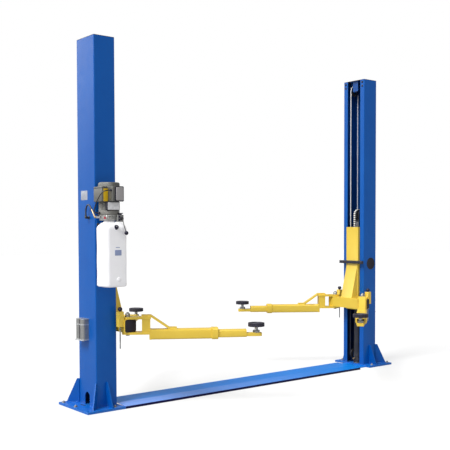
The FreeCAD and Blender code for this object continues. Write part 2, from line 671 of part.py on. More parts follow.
def carriage_frame():
    """The channel that slides in the post, its tapered brace, the cross tube and the arm lock housings."""
    front = box(channel_front, channel_back, f"-{channel_half}", channel_half, "carriage_bottom", "carriage_top")
    pieces = [front]
    for sign in ("1", "-1"):
        inner, outer = f"({channel_half} - carriage_side)", channel_half
        low, high = (inner, outer) if sign == "1" else (f"-{outer}", f"-{inner}")
        pieces.append(box(channel_back, f"{open_face} + carriage_inside", low, high, "carriage_bottom", "carriage_top"))
        wing_edge = f"({post_half} - post_wall - wing_clear)"
        low, high = (outer, wing_edge) if sign == "1" else (f"-{wing_edge}", f"-{outer}")
        wing_front = f"({open_face} + post_wall + wing_clear)"
        for bottom, top in (("carriage_bottom", "carriage_bottom + wing_height"),
                            ("carriage_top - wing_height", "carriage_top")):
            pieces.append(box(wing_front, f"{wing_front} + wing_depth", low, high, bottom, top))
    outline = [(channel_front, tube_top), (channel_front, "taper_top"),
               (f"{channel_front} - taper_bottom", tube_top)]
    pieces.append(prism(outline, "-1 * taper_width / 2", "taper_width / 2", plane="XZ_Plane"))
    tube_front = f"{channel_front} - tube_wide"
    tube = box(tube_front, channel_front, f"-{tube_half}", tube_half, "tube_bottom", tube_top)
    hollow = box(f"{tube_front} + tube_wall", f"{channel_front} - tube_wall", f"-{tube_half}", tube_half,
                 "tube_bottom + tube_wall", f"{tube_top} - tube_wall")
    pin_holes = [cylinder("pin_radius + seat_gap", "tube_bottom", tube_top, pin_x, f"{sign} * {pin_y}")
                 for sign in ("1", "-1")]
    pieces.append(cut(tube, hollow, *pin_holes))
    for sign in ("1", "-1"):
        middle = f"{sign} * ({pin_y} + lock_outset)"
        housing = box(channel_front, f"{channel_front} + lock_wide", f"{middle} - lock_wide / 2",
                      f"{middle} + lock_wide / 2", f"{tube_top} - lock_below", f"{tube_top} + lock_above")
        pieces.append(housing)
    return fuse(*pieces)


def slider_blocks():
    """Plastic blocks round the carriage's wings, which run on the post's lips and walls."""
    blocks = []
    wing_front = f"({open_face} + post_wall + wing_clear)"
    wing_edge = f"({post_half} - post_wall - wing_clear)"
    front = f"({open_face} + post_wall + seat_gap)"
    edge = f"({post_half} - post_wall - seat_gap)"
    for sign in ("1", "-1"):
        for bottom, top in (("carriage_bottom", "carriage_bottom + wing_height"),
                            ("carriage_top - wing_height", "carriage_top")):
            inner = f"({channel_half} + channel_gap)"
            low, high = (inner, edge) if sign == "1" else (f"-{edge}", f"-{inner}")
            face = box(front, wing_front, low, high, bottom, top)
            low, high = (wing_edge, edge) if sign == "1" else (f"-{edge}", f"-{wing_edge}")
            flank = box(front, f"{wing_front} + wing_depth", low, high, bottom, top)
            blocks.append(fuse(face, flank))
    return group(*blocks)


def tube_end_caps():
    """Plugs inside the ends of the cross tube, flush with them."""
    caps = []
    clear = "(tube_wall + seat_gap)"
    for sign in ("1", "-1"):
        low, high = f"{tube_half} - cap_plug", tube_half
        ends = (low, high) if sign == "1" else (f"-{high}", f"0 - ({low})")
        caps.append(box(f"{channel_front} - tube_wide + {clear}", f"{channel_front} - {clear}", *ends,
                        f"tube_bottom + {clear}", f"{tube_top} - {clear}"))
    return group(*caps)


def guard_bar():
    return box(f"{channel_front} - guard_deep", channel_front, "-1 * guard_length / 2", "guard_length / 2",
               "taper_top + guard_gap", "taper_top + guard_gap + guard_high")


def arm_locks():
    """The knob on each arm lock housing and the rod that hangs below it."""
    pieces = []
    for sign in ("1", "-1"):
        x = f"{channel_front} + lock_wide / 2"
        y = f"{sign} * ({pin_y} + lock_outset)"
        pieces.append(cylinder("knob_radius", f"{tube_top} + lock_above", f"{tube_top} + lock_above + knob_high", x, y))
        pieces.append(cylinder("lock_rod", f"{tube_top} - lock_below - lock_drop", f"{tube_top} - lock_below", x, y))
    return group(*pieces)


def pivot_pins():
    pins = []
    for sign in ("1", "-1"):
        y = f"{sign} * {pin_y}"
        shank = cylinder("pin_radius", f"{fork_low} - seat_gap", f"{fork_top} + seat_gap", pin_x, y)
        head = cylinder("pin_head", f"{fork_top} + seat_gap", f"{fork_top} + seat_gap + pin_head_high", pin_x, y)
        nut = cylinder("pin_head", f"{fork_low} - seat_gap - pin_nut_high", f"{fork_low} - seat_gap", pin_x, y)
        pins.append(fuse(shank, head, nut))
    return group(*pins)


def outer_arm():
    """The fork, its web, the outer tube with a collar at its end, and the brace strap over them."""
    pieces = []
    for low, high in (("tube_bottom - fork_gap - fork_plate", "tube_bottom - fork_gap"),
                      (f"{tube_top} + fork_gap", f"{tube_top} + fork_gap + fork_plate")):
        plate = fuse(box("0", "fork_length", "-1 * fork_round", "fork_round", low, high),
                     cylinder("fork_round", low, high, "0", "0"))
        pieces.append(cut(plate, cylinder("pin_radius + pin_gap", low, high, "0", "0")))
    pieces.append(box("web_start", "web_end", "-1 * web_half", "web_half", "tube_bottom - fork_gap",
                      f"{tube_top} + fork_gap"))
    bottom = "arm_middle - arm_high / 2"
    top = "arm_middle + arm_high / 2"
    hollow = box("web_end + arm_wall", "arm_end", "arm_wall - arm_wide / 2", "arm_wide / 2 - arm_wall",
                 f"{bottom} + arm_wall", f"{top} - arm_wall")
    tube = box("arm_start", "arm_end", "-1 * arm_wide / 2", "arm_wide / 2", bottom, top)
    collar = box("arm_end - collar_long", "arm_end", "-1 * arm_wide / 2 - collar_thick",
                 "arm_wide / 2 + collar_thick", f"{bottom} - collar_thick", f"{top} + collar_thick")
    strap = prism([("strap_start", fork_top), ("strap_start", f"{fork_top} + strap_thick"),
                   ("fork_length", f"{fork_top} + strap_thick"), ("strap_bend", f"{top} + strap_thick"),
                   ("strap_end", f"{top} + strap_thick"), ("strap_end", top),
                   ("strap_bend - strap_thick / 2", top), ("fork_length", f"{fork_top} - strap_thick / 4")],
                  "-1 * strap_wide / 2", "strap_wide / 2", plane="XZ_Plane")
    return cut(fuse(*pieces, tube, collar, strap), hollow)


def inner_tube(arm):
    """The second stage, which rests on the floor of the outer tube."""
    end = f"({arm}_radius - inner_short)"
    bottom = inner_low
    top = f"({inner_low} + inner_high)"
    return cut(box(f"{end} - inner_long", end, "-1 * inner_wide / 2", "inner_wide / 2", bottom, top),
               box(f"{end} - inner_long", end, "inner_wall - inner_wide / 2", "inner_wide / 2 - inner_wall",
                   f"{bottom} + inner_wall", f"{top} - inner_wall"))


def hexagon(flats, low, high):
    corner = f"({flats} / 3 ^ 0.5)"
    outline = [(corner, "0"), (f"{corner} / 2", f"{flats} / 2"), (f"0 - {corner} / 2", f"{flats} / 2"),
               (f"-{corner}", "0"), (f"0 - {corner} / 2", f"0 - {flats} / 2"), (f"{corner} / 2", f"0 - {flats} / 2")]
    return prism(outline, low, high)


def pad_bar(arm):
    """The third stage: a flat bar that carries the nut of the pad's screw."""
    axis = f"{arm}_radius"
    block = box(f"{axis} + bar_past - bar_long", f"{axis} + bar_past", "-1 * bar_wide / 2", "bar_wide / 2", bar_low,
                bar_top)
    end = size(axis) + size("bar_past")
    bar = rounded(block, "bar_corner", lambda edge: upright(edge) and abs(edge.Vertexes[0].Point.x - end) < 0.01)
    nut = moved(hexagon("nut_width", bar_top, f"{bar_top} + nut_high"), axis, "0", "0")
    thread = cylinder("stem_radius + stem_gap", bar_low, f"{bar_top} + nut_high", axis, "0")
    return cut(fuse(bar, nut), thread)


def lifting_pad(arm):
    axis = f"{arm}_radius"
    stem = cylinder("stem_radius", f"{bar_low} - stem_below", pad_low, axis, "0")
    disc = cylinder("pad_radius", pad_low, f"{pad_low} + pad_thick", axis, "0")
    return fuse(stem, disc)


def lock_cover():
    middle = "(0 - cover_box_side)"
    axis_x, top = f"{outer_face} + cover_box_deep - lobe_radius", "cover_box_low + cover_box_high"
    half = "(lobe_pitch / 2 + lobe_radius)"
    pieces = [box(outer_face, f"{outer_face} + lobe_plate", f"{middle} - {half}", f"{middle} + {half}",
                  "cover_box_low", top),
              box(outer_face, f"{outer_face} + cover_box_deep + foot_past", f"{middle} - {half} - foot_past",
                  f"{middle} + {half} + foot_past", "cover_box_low", "cover_box_low + foot_thick")]
    for sign in ("1", "-1"):
        y = f"{middle} + {sign} * lobe_pitch / 2"
        pieces.append(cylinder("lobe_radius", "cover_box_low", top, axis_x, y))
        pieces.append(box(outer_face, axis_x, f"{y} - lobe_radius", f"{y} + lobe_radius", "cover_box_low", top))
    return fuse(*pieces)


def motor_bracket():
    """A plate on the post's side with a shelf that the pump block is bolted to."""
    face = f"(0 - {post_half})"
    plate = box(f"{unit_x} - bracket_half", f"{unit_x} + bracket_half", f"{face} - bracket_thick", face,
                "block_low - bracket_drop", block_top)
    shelf = box(f"{unit_x} - bracket_half / 2", f"{unit_x} + bracket_half / 2", f"{unit_y} + block_half",
                f"{face} - bracket_thick", "block_low", block_top)
    return fuse(plate, shelf)


def motor():
    frame = cylinder("motor_radius", block_top, f"{block_top} + motor_high", unit_x, unit_y)
    fan = cylinder("fan_radius", f"{block_top} + motor_high", f"{block_top} + motor_high + fan_high", unit_x, unit_y)
    return fuse(frame, fan)


def motor_saddle():
    return cylinder("fan_radius + seat_gap", f"{box_low} - box_high", f"{box_low} + 2 * box_high", unit_x, unit_y)


def terminal_box():
    block = box(f"{unit_x} - box_wide / 2", f"{unit_x} + box_wide / 2", f"{unit_y} - fan_radius - box_deep",
                f"{unit_y} - fan_radius / 2", box_low, f"{box_low} + box_high")
    return cut(block, motor_saddle())


def capacitor_box():
    left = f"{unit_x} - fan_radius - can_past"
    block = box(left, f"{left} + can_wide", f"{unit_y} - can_front", f"{unit_y} - can_front + can_deep",
                box_low, f"{box_low} + box_high")
    return cut(block, motor_saddle())


def pump_block():
    """The valve block under the motor; the lever valve stands in front of it with two ears."""
    block = box(f"{unit_x} - block_half", f"{unit_x} + block_half", f"{unit_y} - block_half",
                f"{unit_y} + block_half", "block_low", block_top)
    valve = box(f"{unit_x} + valve_start", f"{unit_x} + valve_start + valve_wide", f"{valve_face}",
                f"{unit_y} - block_half", valve_low, block_top)
    pieces = [block, valve]
    for low, high in (("0 - eye_wide / 2 - ear_thick", "0 - eye_wide / 2"),
                      ("eye_wide / 2", "eye_wide / 2 + ear_thick")):
        pieces.append(box(f"{lever_x} + {low}", f"{lever_x} + {high}", f"{valve_face} - ear_reach", valve_face,
                          f"{lever_z} - ear_high / 2", f"{lever_z} + ear_high / 2"))
    pieces.append(cylinder("eye_pin", f"{lever_x} - eye_wide / 2", f"{lever_x} + eye_wide / 2", lever_y, lever_z,
                           along="X"))
    return fuse(*pieces)


def release_lever():
    """A thin rod with a ball, on an eye round the valve's pin; drawn straight down, then sloped outward."""
    eye = cylinder("eye_radius", "0 - eye_wide / 2 + seat_gap", "eye_wide / 2 - seat_gap", "0", "0", along="X")
    rod = cylinder("lever_radius", "0 - lever_long", "0", "0", "0")
    knob = ball("ball_radius", "0", "0", "0 - lever_long")
    hole = cylinder("eye_pin + eye_gap", "0 - eye_wide / 2", "eye_wide / 2", "0", "0", along="X")
    lever = group(cut(fuse(eye, rod, knob), hole))
    lever.Placement.Rotation = FreeCAD.Rotation(FreeCAD.Vector(-1, 0, 0), 1)
    bind(lever, "Placement.Rotation.Angle", "lever_tilt")
    return locate(lever, lever_x, lever_y, lever_z)


def oil_tank():
    """A blow moulded tank: rounded upright corners, a sloping shoulder all round and a round neck."""
    across = (f"{tank_x} - tank_wide / 2", f"{tank_x} + tank_wide / 2")
    along = (f"{tank_y} - tank_deep / 2", f"{tank_y} + tank_deep / 2")
    body = rounded(box(*across, *along, tank_low, tank_top), "tank_round", upright)
    profiles = []
    for (low, high), ends, plane in ((across, along, "XZ_Plane"), (along, across, "YZ_Plane")):
        outline = [(low, tank_low), (high, tank_low), (high, tank_straight), (f"{high} - shoulder_inset", tank_top),
                   (f"{low} + shoulder_inset", tank_top), (low, tank_straight)]
        profiles.append(prism(outline, *ends, plane=plane))
    sloped = document.addObject("Part::MultiCommon", "Sloped")
    sloped.Shapes = [body, *profiles]
    neck = cylinder("tank_neck", tank_straight, "block_low", unit_x, unit_y)
    return fuse(sloped, neck)


def filler_cap(tank):
    """A round cap that stands on the front edge of the tank's shoulder."""
    disc = document.addObject("Part::Cylinder", "Cap")
    bind(disc, "Radius", "cap_radius")
    bind(disc, "Height", "2 * cap_high")
    disc.Placement.Rotation = FreeCAD.Rotation(FreeCAD.Vector(1, 0, 0), 1)
    bind(disc, "Placement.Rotation.Angle", "cap_tilt")
    locate(disc, f"{tank_x} - cap_side", f"{tank_y} - tank_deep / 2 + cap_sink", f"{tank_straight} - cap_drop")
    return cut(disc, tank)


# Ends of the hose and the cable, and the routes between them
post_side = -size("clear_width") / 2 - size("post_depth")
motor_x = post_side + size("unit_inset")
motor_y = -size("post_width") / 2 - size("unit_reach")
underside = size("block_low")
upward = FreeCAD.Vector(0, 0, 1)
tilt = math.radians(size("stem_tilt"))
stem_line = FreeCAD.Vector(0, math.sin(tilt), math.cos(tilt))
stem_foot = FreeCAD.Vector(post_side - size("hose_stand"), motor_y + size("nipple_side"),
                           underside + size("nipple_rise"))
hose_start = stem_foot + stem_line * size("stem_long")
hose_end = FreeCAD.Vector(post_side - size("hose_stand"), -size("elbow_side"), underside + size("elbow_rise"))
hose_rising = hose_start + stem_line * size("hose_run")
hose_falling = hose_end + upward * size("hose_lift")
hose_crown = (hose_rising + hose_falling) * 0.5 + upward * size("hose_arch")
hose_route = [hose_start, hose_rising, hose_crown, hose_falling, hose_end]

outward = FreeCAD.Vector(-1, 0, 0)
wire_start = FreeCAD.Vector(motor_x - size("box_wide") / 2 - size("gland_long"), motor_y - size("gland_side"),
                            underside + size("block_high") + size("box_rise") + size("gland_rise"))
wire_end = FreeCAD.Vector(motor_x - size("motor_radius") - size("gland_long"), motor_y,
                          underside + size("block_high") + size("gland_low"))
wire_route = [wire_start, wire_start + outward * size("wire_lead")]
for share, bulge in ((0.115, 1.0), (0.38, 1.1), (0.64, 1.0), (0.85, 0.85)):
    wire_route.append(wire_start + (wire_end - wire_start) * share + outward * bulge * size("wire_out"))
wire_route += [wire_end + outward * size("wire_lead"), wire_end]


def hose_fittings():
    """The fitting on the pump block with the hose's steel end, and the elbow on the post's outer face."""
    nipple_y = f"({unit_y} + nipple_side)"
    nipple_z = "(block_low + nipple_rise)"
    straight = cylinder("nipple_radius", hose_x, f"{unit_x} - block_half", nipple_y, nipple_z, along="X")
    knuckle = ball("nipple_radius", hose_x, nipple_y, nipple_z)
    stem = document.addObject("Part::Cylinder", "Stem")
    bind(stem, "Radius", "stem_round")
    bind(stem, "Height", "stem_long")
    stem.Placement.Rotation = FreeCAD.Rotation(FreeCAD.Vector(-1, 0, 0), 1)
    bind(stem, "Placement.Rotation.Angle", "stem_tilt")
    locate(stem, hose_x, nipple_y, nipple_z)
    top = "(block_low + elbow_rise)"
    across = cylinder("nipple_radius", f"{hose_x} - nipple_radius", f"0 - {outer_face}", "-1 * elbow_side",
                      f"{top} - elbow_high", along="X")
    riser = cylinder("nipple_radius", f"{top} - elbow_high", top, hose_x, "-1 * elbow_side")
    return group(fuse(straight, knuckle, stem), fuse(across, riser))


def cable_glands():
    """Glands on the side of the terminal box and low on the motor."""
    upper = cylinder("gland_radius", f"{unit_x} - box_wide / 2 - gland_long", f"{unit_x} - box_wide / 2",
                     f"{unit_y} - gland_side", f"{box_low} + gland_rise", along="X")
    lower = cylinder("gland_radius", f"{unit_x} - motor_radius - gland_long", f"{unit_x} - motor_radius / 2",
                     unit_y, f"{block_top} + gland_low", along="X")
    frame = cylinder("motor_radius", block_top, f"{block_top} + motor_high", unit_x, unit_y)
    return group(upper, cut(lower, frame))


def pair(name, maker):
    """One node for the two like pieces of both posts."""
    turned = group(maker())
    turned.Placement.Rotation = FreeCAD.Rotation(FreeCAD.Vector(0, 0, 1), 180)
    return node(name, group(maker(), turned))


for side in ("left", "right"):
    node(f"{side}_column", column(), side)
    node(f"{side}_base_plate", base_plate(), side)
    node(f"{side}_cylinder_rod", rod_and_roller(), side)
    node(f"{side}_lift_chain", lift_chain(), side)
    node(f"{side}_carriage", carriage_frame(), side)
    node(f"{side}_slider_blocks", slider_blocks(), side)
    node(f"{side}_tube_end_caps", tube_end_caps(), side)
    node(f"{side}_guard_bar", guard_bar(), side)
    node(f"{side}_arm_locks", arm_locks(), side)
    node(f"{side}_pivot_pins", pivot_pins(), side)

for name, maker in (("column_caps", column_cap), ("access_plugs", access_plug), ("gussets", gussets),
                    ("cylinders", cylinder_tube), ("pulley_brackets", pulley_brackets),
                    ("equalizer_cables", equalizer_cable), ("lock_covers", lock_cover)):
    pair(name, maker)
pair("cable_pulleys", lambda: group(pulley(top_pulley), pulley("low_pulley")))

for side, x_sign in (("left", "-1"), ("right", "1")):
    for end, y_sign in (("front", "-1"), ("back", "1")):
        arm = f"{side}_{end}"
        for piece_name, piece in (("arm", outer_arm()), ("inner_tube", inner_tube(arm)),
                                  ("pad_bar", pad_bar(arm)), ("lifting_pad", lifting_pad(arm))):
            placed = moved(piece, f"{x_sign} * {pin_x}", f"{y_sign} * {pin_y}", "0", f"{arm}_angle")
            node(f"{arm}_{piece_name}", placed)

node("floor_cover", floor_cover())
node("motor_bracket", motor_bracket())
node("motor", motor())
node("terminal_box", terminal_box())
node("capacitor_box", capacitor_box())
node("pump_block", pump_block())
tank_shape = oil_tank()
node("oil_tank", tank_shape)
node("filler_cap", filler_cap(tank_shape))
node("release_lever", release_lever())
node("hose_fittings", hose_fittings())
node("cable_glands", cable_glands())
node("hydraulic_hose", cord("hydraulic_hose", hose_route, size("hose_radius")))
node("motor_cable", cord("motor_cable", wire_route, size("wire_radius")))

document.recompute()
for item in document.Objects:
    if "Invalid" in item.State or "Error" in item.State:
        raise RuntimeError(f"{item.Label} failed: {item.State}")
for name, item in nodes.items():
    if item.Shape.isNull() or not item.Shape.isValid() or not item.Shape.Solids:
        raise RuntimeError(f"{name} has no valid solid")

os.makedirs("parts", exist_ok=True)
for name, item in nodes.items():
    item.Shape.exportStep(f"parts/{name}.step")
print(len(nodes), "nodes,", sum(len(item.Shape.Solids) for item in nodes.values()), "solids")
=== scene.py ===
# Two post car lift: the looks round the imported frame. Metres, Z up, floor at 0.
import json
import math

import bmesh
import bpy
import numpy as np
from mathutils import Matrix, Vector


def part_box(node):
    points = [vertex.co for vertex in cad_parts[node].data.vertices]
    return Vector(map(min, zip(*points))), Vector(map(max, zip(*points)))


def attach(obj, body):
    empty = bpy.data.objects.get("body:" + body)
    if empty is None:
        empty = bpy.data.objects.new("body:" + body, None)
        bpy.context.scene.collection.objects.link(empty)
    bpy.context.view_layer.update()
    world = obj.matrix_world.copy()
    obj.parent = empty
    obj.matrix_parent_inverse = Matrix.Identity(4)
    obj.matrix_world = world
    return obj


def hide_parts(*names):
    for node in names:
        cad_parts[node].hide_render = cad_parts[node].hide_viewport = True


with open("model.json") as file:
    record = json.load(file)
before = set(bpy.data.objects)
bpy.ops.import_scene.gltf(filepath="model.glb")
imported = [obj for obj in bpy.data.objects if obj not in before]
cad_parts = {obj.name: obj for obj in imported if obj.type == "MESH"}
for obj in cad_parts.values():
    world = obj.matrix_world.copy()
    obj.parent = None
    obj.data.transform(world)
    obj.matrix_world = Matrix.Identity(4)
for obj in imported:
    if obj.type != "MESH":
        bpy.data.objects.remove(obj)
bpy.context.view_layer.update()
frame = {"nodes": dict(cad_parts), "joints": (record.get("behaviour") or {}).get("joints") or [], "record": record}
nodes = frame["nodes"]
bodyOf = {node: body for body, members in frame["record"]["behaviour"]["bodies"].items() for node in members}
jointNamed = {joint["name"]: joint for joint in frame["joints"]}
print("frame loaded with", len(nodes), "nodes")

# ---- camera, as the photograph was taken
cameraPlace = {"position": (-4.5814, -5.4589, 1.3922), "yaw": 38.608, "pitch": -1.965, "roll": -0.15,
               "lens": 64.24, "shiftX": -0.002, "shiftY": 0.0631}


def makeCamera(place):
    yaw, pitch, roll = (math.radians(place[key]) for key in ("yaw", "pitch", "roll"))
    ahead = Vector((math.sin(yaw) * math.cos(pitch), math.cos(yaw) * math.cos(pitch), math.sin(pitch)))
    right = Vector((math.cos(yaw), -math.sin(yaw), 0))
    up = right.cross(ahead)
    tiltedRight = right * math.cos(roll) + up * math.sin(roll)
    tiltedUp = up * math.cos(roll) - right * math.sin(roll)
    data = bpy.data.cameras.new("camera")
    data.lens = place["lens"]
    data.shift_x, data.shift_y = place["shiftX"], place["shiftY"]
    data.clip_end = 100
    camera = bpy.data.objects.new("camera", data)
    camera.matrix_world = Matrix((tiltedRight, tiltedUp, -ahead)).transposed().to_4x4()
    camera.location = place["position"]
    bpy.context.scene.collection.objects.link(camera)
    bpy.context.scene.camera = camera


makeCamera(cameraPlace)

# ---- shader groups that several finishes share


def newGroup(name, inputs, outputs):
    group = bpy.data.node_groups.new(name, "ShaderNodeTree")
    for title, kind, value in inputs:
        socket = group.interface.new_socket(name=title, in_out="INPUT", socket_type=kind)
        socket.default_value = value
    for title, kind in outputs:
        group.interface.new_socket(name=title, in_out="OUTPUT", socket_type=kind)
    return group, group.nodes.new("NodeGroupInput"), group.nodes.new("NodeGroupOutput")


def addNode(tree, kind, settings=None, **links):
    node = tree.nodes.new(kind)
    for key, value in (settings or {}).items():
        setattr(node, key, value)
    for key, value in links.items():
        socket = node.inputs[int(key[1:])] if key[0] == "n" and key[1:].isdigit() else node.inputs[key]
        if isinstance(value, bpy.types.NodeSocket):
            tree.links.new(value, socket)
        else:
            socket.default_value = value
    return node


def objectPoint(tree):
    return addNode(tree, "ShaderNodeTexCoord").outputs["Object"]


def noise(tree, scale, detail=3.0, rough=0.5, point=None):
    node = addNode(tree, "ShaderNodeTexNoise", None, Vector=point or objectPoint(tree), Scale=scale, Detail=detail,
                   Roughness=rough)
    return node.outputs["Fac"]


def spread(tree, value, fromLow, fromHigh, toLow, toHigh):
    node = addNode(tree, "ShaderNodeMapRange", None, Value=value)
    for key, number in (("From Min", fromLow), ("From Max", fromHigh), ("To Min", toLow), ("To Max", toHigh)):
        if isinstance(number, bpy.types.NodeSocket):
            tree.links.new(number, node.inputs[key])
        else:
            node.inputs[key].default_value = number
    return node.outputs["Result"]


def math2(tree, operation, first, second=0.0):
    return addNode(tree, "ShaderNodeMath", {"operation": operation}, n0=first, n1=second).outputs[0]


def blendColours(tree, factor, first, second):
    node = addNode(tree, "ShaderNodeMix", {"data_type": "RGBA"}, n0=factor, n6=first, n7=second)
    return node.outputs[2]


def product(tree, *factors):
    result = factors[0]
    for factor in factors[1:]:
        result = math2(tree, "MULTIPLY", result, factor)
    return result


def makeFilmGroup(name, film):
    # the two tones, gloss and relief of a finish, by the mask, unevenness and height that film works out
    colour, number = "NodeSocketColor", "NodeSocketFloat"
    group, start, end = newGroup(name, [("Tone", colour, (1, 1, 1, 1)), ("Shade", colour, (1, 1, 1, 1)),
                                        ("Gloss", number, 0.3)],
                                 [("Colour", colour), ("Roughness", number), ("Height", number)])
    mask, uneven, height = film(group)
    given = start.outputs
    group.links.new(blendColours(group, mask, given["Tone"], given["Shade"]), end.inputs["Colour"])
    group.links.new(math2(group, "ADD", uneven, given["Gloss"]), end.inputs["Roughness"])
    group.links.new(height, end.inputs["Height"])
    return group


def paintFilm(group):
    # sprayed paint: slow drift between two tones, a fine orange peel and slightly uneven gloss
    return (spread(group, noise(group, 3.0, 4.0, 0.55), 0.3, 0.7, 0.0, 1.0),
            spread(group, noise(group, 14.0, 5.0, 0.6), 0.2, 0.8, -0.06, 0.08), noise(group, 420.0, 2.0, 0.4))


def grainFilm(group):
    # fine grain of castings, rubber and moulded plastic
    pits, patches = noise(group, 300.0, 4.0, 0.6), noise(group, 18.0, 3.0, 0.5)
    mask = spread(group, math2(group, "ADD", product(group, pits, 0.4), patches), 0.5, 0.95, 0.0, 1.0)
    return mask, spread(group, patches, 0.2, 0.8, -0.09, 0.09), pits


def plateFilm(group):
    # zinc plating: faint bloom over a fine draw grain
    stretched = addNode(group, "ShaderNodeMapping", None, Vector=objectPoint(group), Scale=(900.0, 900.0, 40.0))
    lines = noise(group, 1.0, 2.0, 0.5, stretched.outputs["Vector"])
    return (spread(group, noise(group, 55.0, 3.0, 0.5), 0.42, 0.62, 0.0, 1.0),
            spread(group, lines, 0.2, 0.8, -0.08, 0.12), lines)


def makeSoilAndLightGroup(name, soilAndLight, inputs, mask):
    # lays a colour over the paint where the mask says, by the object's own coordinates: real dust, and painted shade
    # and a painted reflection for the posts, cables and floor cover
    group, start, end = newGroup(name, [("Colour", "NodeSocketColor", (1, 1, 1, 1)), ("Soil", "NodeSocketColor", soilAndLight),
                                        *((title, "NodeSocketFloat", 1.0) for title in inputs)],
                                 [("Colour", "NodeSocketColor")])
    place = addNode(group, "ShaderNodeSeparateXYZ", None, Vector=objectPoint(group)).outputs
    given = start.outputs
    blended = blendColours(group, mask(group, place, given), given["Colour"], given["Soil"])
    group.links.new(blended, end.inputs["Colour"])
    return group


def dustMask(group, place, given):
    # workshop dust, in patches near the floor
    return product(group, spread(group, place["Z"], 0.0, given["Reach"], 1.0, 0.0),
                   spread(group, noise(group, 22.0, 6.0, 0.65), 0.42, 0.68, 0.0, 1.0), given["Amount"])


def insideShadeMask(group, place, given):
    # painted shade: the inside of each post, and the cable running in it, is darkened where shade falls: a box of |X|
    # and |Y|, with amounts for low and high on the post
    x, y = math2(group, "ABSOLUTE", place["X"]), math2(group, "ABSOLUTE", place["Y"])
    return product(group, math2(group, "GREATER_THAN", x, 1.4112), math2(group, "LESS_THAN", x, 1.5798),
                   math2(group, "LESS_THAN", y, 0.1278),
                   spread(group, noise(group, 9.0, 5.0, 0.6), 0.3, 0.7, 0.82, 1.0),
                   spread(group, place["Z"], 0.3, 2.2, given["Low"], given["High"]))


def rampSheenMask(group, place, given):
    # painted reflection: the floor cover's front ramp is painted paler, most at the power unit's end: bands of Y, a
    # slope of X and streaks
    sheenStreaks = addNode(group, "ShaderNodeMapping", None, Vector=objectPoint(group), Scale=(1.2, 60.0, 60.0))
    return product(group, spread(group, place["Y"], -0.122, -0.114, 1.0, 0.0),
                   spread(group, place["X"], -1.35, 0.9, 1.0, 0.0),
                   spread(group, noise(group, 1.0, 5.0, 0.6, sheenStreaks.outputs["Vector"]), 0.3, 0.7, 0.72, 1.0))


filmFor = {"paint": makeFilmGroup("sprayedPaint", paintFilm), "grain": makeFilmGroup("fineGrain", grainFilm),
           "plate": makeFilmGroup("zincBloom", plateFilm)}
dustGroup = makeSoilAndLightGroup("floorDust", (0.45, 0.42, 0.38, 1), ("Amount", "Reach"), dustMask)
# painted shade: a near black blue laid inside each post and over its cable
insideShadeGroup = makeSoilAndLightGroup("channelGrease", (0.004, 0.006, 0.016, 1), ("Low", "High"), insideShadeMask)
# painted reflection: a paler blue laid on the floor cover's front ramp
rampSheenGroup = makeSoilAndLightGroup("rampScuff", (0.2, 0.34, 0.78, 1), (), rampSheenMask)
# painted shade inside the posts and on their cables, darker lower down on the cables; a painted reflection on the floor
# cover's ramp
soilAndLightOn = {"postEnamel": (insideShadeGroup, {"Low": 0.94, "High": 0.38}),
          "cableWire": (insideShadeGroup, {"Low": 1.9, "High": -1.6}), "coverEnamel": (rampSheenGroup, {})}

